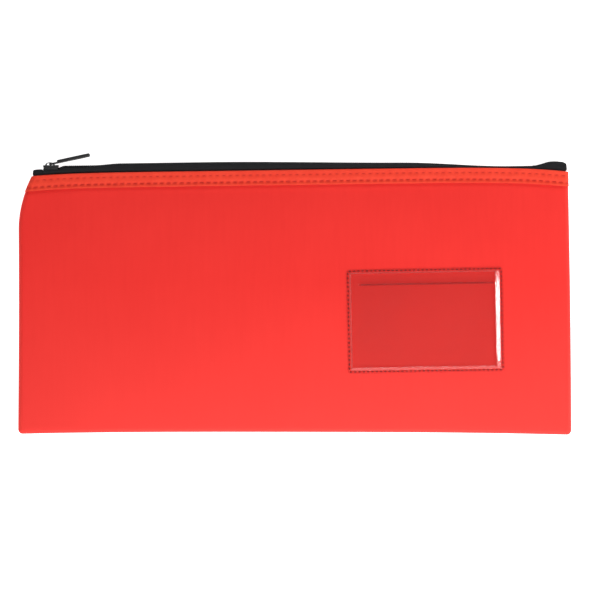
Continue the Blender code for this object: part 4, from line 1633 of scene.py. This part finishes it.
@dataclass
class CardWindow:
    """The clear card window: a sewn flange, a step up on all four sides, and a face with a slit."""

    shape: PouchShape
    finishes: Finishes
    width: float = 0.0990
    height: float = 0.0655
    middle_h: float = 0.0703
    tilt: float = radians(1.1)
    film: float = 0.0004
    flange: float = 0.0019
    step: float = 0.0013
    slit_ends: tuple[float, float] = (-0.0401, 0.0427)
    slit_width: float = 0.00016
    slit_edge: float = 0.00024
    slit_from_top: float = 0.0098
    slit_shade_mark: float = 1.5
    slit_spare: float = 0.0001
    thread_inset: float = 0.0011
    stitch_pitch: float = 0.0027
    stitch: Stitch = Stitch(0.0016, 0.00082)
    flange_steps: int = 5
    wall_steps: int = 7

    def __post_init__(self) -> None:
        """Reads where the window's middle is."""
        low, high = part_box("card_window")
        self.middle_x = (low.x + high.x) / 2

    def point(self, along: float, up: float) -> tuple[float, float]:
        """World x and height of a point of the window, from its own middle."""
        turn_x, turn_y = cos(self.tilt), sin(self.tilt)
        return self.middle_x + along * turn_x - up * turn_y, self.middle_h + along * turn_y + up * turn_x

    def walls(self) -> dict[str, float]:
        """How wide the sloping step is on each side."""
        return {"left": 0.0014, "right": 0.0036, "bottom": 0.0019, "top": 0.0012}

    def stations(self, half: float, walls: Point, cells: int, marks: Sequence[float]) -> list[float]:
        """Grid lines across the window.

        Args:
            half: half the window's size in this direction.
            walls: width of the step at the low and high ends.
            cells: even cells between the steps.
            marks: places that need a line of their own.

        Returns:
            The places of the lines, from low to high.
        """
        turned = [self.flange * (1 - cos(pi / 2 * i / self.flange_steps)) for i in range(self.flange_steps)]
        low = [-half + inset for inset in turned]
        low += [-half + self.flange + walls[0] * i / self.wall_steps for i in range(self.wall_steps)]
        high = [half - inset for inset in turned]
        high += [half - self.flange - walls[1] * i / self.wall_steps for i in range(self.wall_steps)]
        first, last = -half + self.flange + walls[0], half - self.flange - walls[1]
        inner = [between(first, last, i / cells) for i in range(cells + 1)]
        spare = (last - first) / cells * 0.4
        inner = [place for place in inner if all(abs(place - mark) > spare for mark in marks)]
        return sorted([*low, *inner, *marks, *high])

    def lift(self, along: float, up: float) -> tuple[float, float]:
        """How far the film stands up, and how strongly it is bent there, which is the mask of its painted
        highlight.
        """
        walls = self.walls()
        rises = (
            (along + self.width / 2 - self.flange) / walls["left"],
            (self.width / 2 - self.flange - along) / walls["right"],
            (up + self.height / 2 - self.flange) / walls["bottom"],
            (self.height / 2 - self.flange - up) / walls["top"],
        )
        risen = min(1.0, max(0.0, min(rises)))
        slack = 0.00022 * noise.noise(Vector((along * 38, up * 30, 9.0))) * smoothstep(min(rises) / 3)
        above = up - (self.height / 2 - self.slit_from_top)
        inside = 1 - smoothstep((abs(along) - self.slit_ends[1] + 0.004) / 0.004)
        lip = 0.00040 * exp(-above / 0.002) * inside if above > 0 else -0.00012 * exp(above / 0.0015) * inside
        return self.step * ramp(risen) + slack + lip, 4 * risen * (1 - risen)

    def build_film(self) -> Piece:
        """The film with its slit."""
        half_width, half_height = self.width / 2, self.height / 2
        walls = self.walls()
        slit_up = half_height - self.slit_from_top
        lip, clear = self.slit_width / 2, self.slit_width / 2 + self.slit_edge
        slit_rows = (
            slit_up - clear - self.slit_edge,
            slit_up - clear,
            slit_up - lip,
            slit_up + lip,
            slit_up + clear,
            slit_up + clear + self.slit_edge,
        )
        slit_ends = self.slit_ends
        across = self.stations(half_width, (walls["left"], walls["right"]), 56, slit_ends)
        upward = self.stations(half_height, (walls["bottom"], walls["top"]), 34, slit_rows)
        columns, rows = len(across) - 1, len(upward) - 1
        marks: dict[tuple[int, int], tuple[float, float, float]] = {}

        def place(column: int, row: int) -> Vector:
            """The grid point in space, its corners rounded off."""
            along, up = across[column], upward[row]
            near_side = max(0.0, 1 - (half_width - abs(along)) / self.flange)
            near_end = max(0.0, 1 - (half_height - abs(up)) / self.flange)
            if near_side > 0 and near_end > 0:
                turned = round_off(near_side, near_end)
                along = (half_width - self.flange * (1 - turned[0])) * (1 if along > 0 else -1)
                up = (half_height - self.flange * (1 - turned[1])) * (1 if up > 0 else -1)
            rise, bent = self.lift(along, up)
            from_edge = min(half_width - abs(along), half_height - abs(up))
            # Painted shade: a faint dark band along the outer edge, and a strong one along the slit.
            edge = 0.25 * (1 - smoothstep(from_edge / 0.0005))
            within = slit_ends[0] - self.slit_spare < along < slit_ends[1] + self.slit_spare
            if within and abs(up - slit_up) < clear + self.slit_edge / 2:
                edge = self.slit_shade_mark
            marks[column, row] = (edge, bent, 1.0 if from_edge < self.flange else 0.0)
            x, h = self.point(along, up)
            settled = self.shape.front_depth(x, h) + self.shape.layers.gap * 0.5 + rise
            return self.shape.place(Side.FRONT, x, h, settled)

        bm = shaped_grid(columns, rows, place)
        cut_edge = bm.verts.layers.float.new("cut_edge")
        bend = bm.verts.layers.float.new("bend")
        sewn = bm.verts.layers.float.new("sewn")
        placed = {tuple(round(v, 7) for v in place(*cell)): marks[cell] for cell in sorted(marks)}
        for vertex in bm.verts:
            key = tuple(round(v, 7) for v in vertex.co)
            vertex[cut_edge], vertex[bend], vertex[sewn] = placed.get(key, (0.0, 0.0, 0.0))

        def in_slit(face: bmesh.types.BMFace) -> bool:
            """Whether a face lies in the slit."""
            middle = face.calc_center_median()
            x, h = middle.x - self.middle_x, middle.y - self.shape.bottom_y - self.middle_h
            h -= self.shape.sag(middle.x, middle.y - self.shape.bottom_y)
            along = x * cos(self.tilt) + h * sin(self.tilt)
            up = h * cos(self.tilt) - x * sin(self.tilt)
            return abs(up - slit_up) < self.slit_width * 0.4 and slit_ends[0] < along < slit_ends[1]

        bmesh.ops.delete(bm, geom=[face for face in bm.faces if in_slit(face)], context="FACES")
        face_up(bm, Vector((0, 0, 1)))
        piece = add_piece("card_window_film", bm, self.finishes.film)
        thicken(piece, self.film, 1)
        return piece

    def build_stitches(self) -> Piece:
        """One round of small dark stitches on the flange."""
        half_width = self.width / 2 - self.thread_inset
        half_height = self.height / 2 - self.thread_inset
        radius = self.flange - self.thread_inset
        loop = rounded_outline(-half_width, 2 * half_width, (2 * half_height, 2 * half_height), radius, 4)
        loop.append(loop[0])
        lengths = [hypot(b[0] - a[0], b[1] - a[1]) for a, b in zip(loop, loop[1:])]
        count = round(sum(lengths) / self.stitch_pitch)
        places = []
        for index in range(count):
            distance = sum(lengths) * (index + 0.5) / count
            piece = 0
            while distance > lengths[piece]:
                distance -= lengths[piece]
                piece += 1
            (x0, y0), (x1, y1) = loop[piece], loop[piece + 1]
            share = distance / lengths[piece]
            along, up = between(x0, x1, share), between(y0, y1, share)
            turn = atan2(y1 - y0, x1 - x0) + self.tilt + 0.12 * noise.noise(Vector((index * 1.3, 4.0, 0.7)))
            x, h = self.point(along, up)
            depth = self.shape.front_depth(x, h) + self.shape.layers.gap * 0.5 + self.film + 0.00008
            ahead = Vector((cos(turn), sin(turn), 0))
            places.append((self.shape.place(Side.FRONT, x, h, depth), ahead, Vector((0, 0, 1))))
        return add_piece("card_window_stitches", self.stitch.run(places), self.finishes.window_thread)

    def build(self) -> list[Piece]:
        """Builds the film and its stitches.

        Returns:
            The two pieces.
        """
        film = self.build_film()
        dress(film, ["card_window"], None, self.shape)
        stitches = self.build_stitches()
        dress(stitches, ["card_window_thread"], None, self.shape)
        return [film, stitches]


@dataclass(frozen=True)
class Lamp:
    """A rectangular soft light, with its power in watts and the point that it faces."""

    name: str
    place: tuple[float, float, float]
    size: Point
    power: float
    aim: tuple[float, float, float] = (0.0, 0.0, 0.0)

    def hang(self) -> None:
        """Puts the light in the scene."""
        data = bpy.data.lights.new(self.name, "AREA")
        data.shape = "RECTANGLE"
        data.size, data.size_y = self.size
        data.energy = self.power
        light = bpy.data.objects.new(self.name, data)
        light.location = self.place
        facing = Vector(self.aim) - Vector(self.place)
        light.rotation_euler = facing.to_track_quat("-Z", "Y").to_euler()
        bpy.context.scene.collection.objects.link(light)


@dataclass
class Studio:
    """White sweep, soft lights and the camera straight above."""

    shape: PouchShape
    view_width: float = 0.3734
    view_middle: tuple[float, float] = (0.00016, 0.0035)
    lens: float = 200.0
    sensor: float = 36.0
    clip: Point = (0.05, 20.0)
    surround: float = 0.42
    lamps: tuple[Lamp, ...] = (
        Lamp("key", (0.12, -0.50, 0.55), (0.6, 0.5), 4.2),
        Lamp("fill", (-0.6, 0.7, 1.3), (1.2, 1.2), 1.0),
        Lamp("edge", (0.855, -0.01, 0.58), (0.12, 0.50), 3.6, (0.13, 0.0, 0.01)),
    )

    def build_floor(self) -> None:
        """The sweep, big enough to fill any low view."""
        bm = bmesh.new()
        bmesh.ops.create_grid(bm, x_segments=1, y_segments=1, size=6)
        add_piece("floor", bm, Paper().make())

    def build_camera(self) -> None:
        """The camera, as far above the pouch as its lens needs."""
        data = bpy.data.cameras.new("camera")
        data.lens, data.sensor_width = self.lens, self.sensor
        data.clip_start, data.clip_end = self.clip
        camera = bpy.data.objects.new("camera", data)
        away = self.view_width * self.lens / self.sensor
        camera.location = (*self.view_middle, self.shape.seam_plane + away)
        bpy.context.scene.collection.objects.link(camera)
        bpy.context.scene.camera = camera

    def build(self) -> None:
        """Builds the studio."""
        self.build_floor()
        self.build_camera()
        scene = bpy.context.scene
        scene.view_settings.view_transform = "Standard"
        world = bpy.data.worlds.new("studio")
        world.use_nodes = True
        backdrop = world.node_tree.nodes["Background"]
        backdrop.inputs["Color"].default_value = (1.0, 1.0, 1.0, 1.0)
        backdrop.inputs["Strength"].default_value = self.surround
        scene.world = world
        for lamp in self.lamps:
            lamp.hang()


def main() -> None:
    """Builds the pouch and the studio round it."""
    logging.basicConfig(level=logging.INFO, format="%(name)s: %(message)s")
    shape = PouchShape.from_frame()
    finishes = Finishes.make()
    Studio(shape).build()
    panels = Panels(shape, finishes).build()
    bindings = Bindings(shape, finishes).build()
    Zip(shape, finishes).build()
    Slider(shape, finishes).build()
    window = CardWindow(shape, finishes).build()
    cut = (round(shape.width + 2 * shape.edge_radius, 4), round(shape.height + shape.edge_radius, 4))
    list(bindings[Side.FRONT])
    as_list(bindings[Side.BACK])


if __name__ == "__main__":
    main()
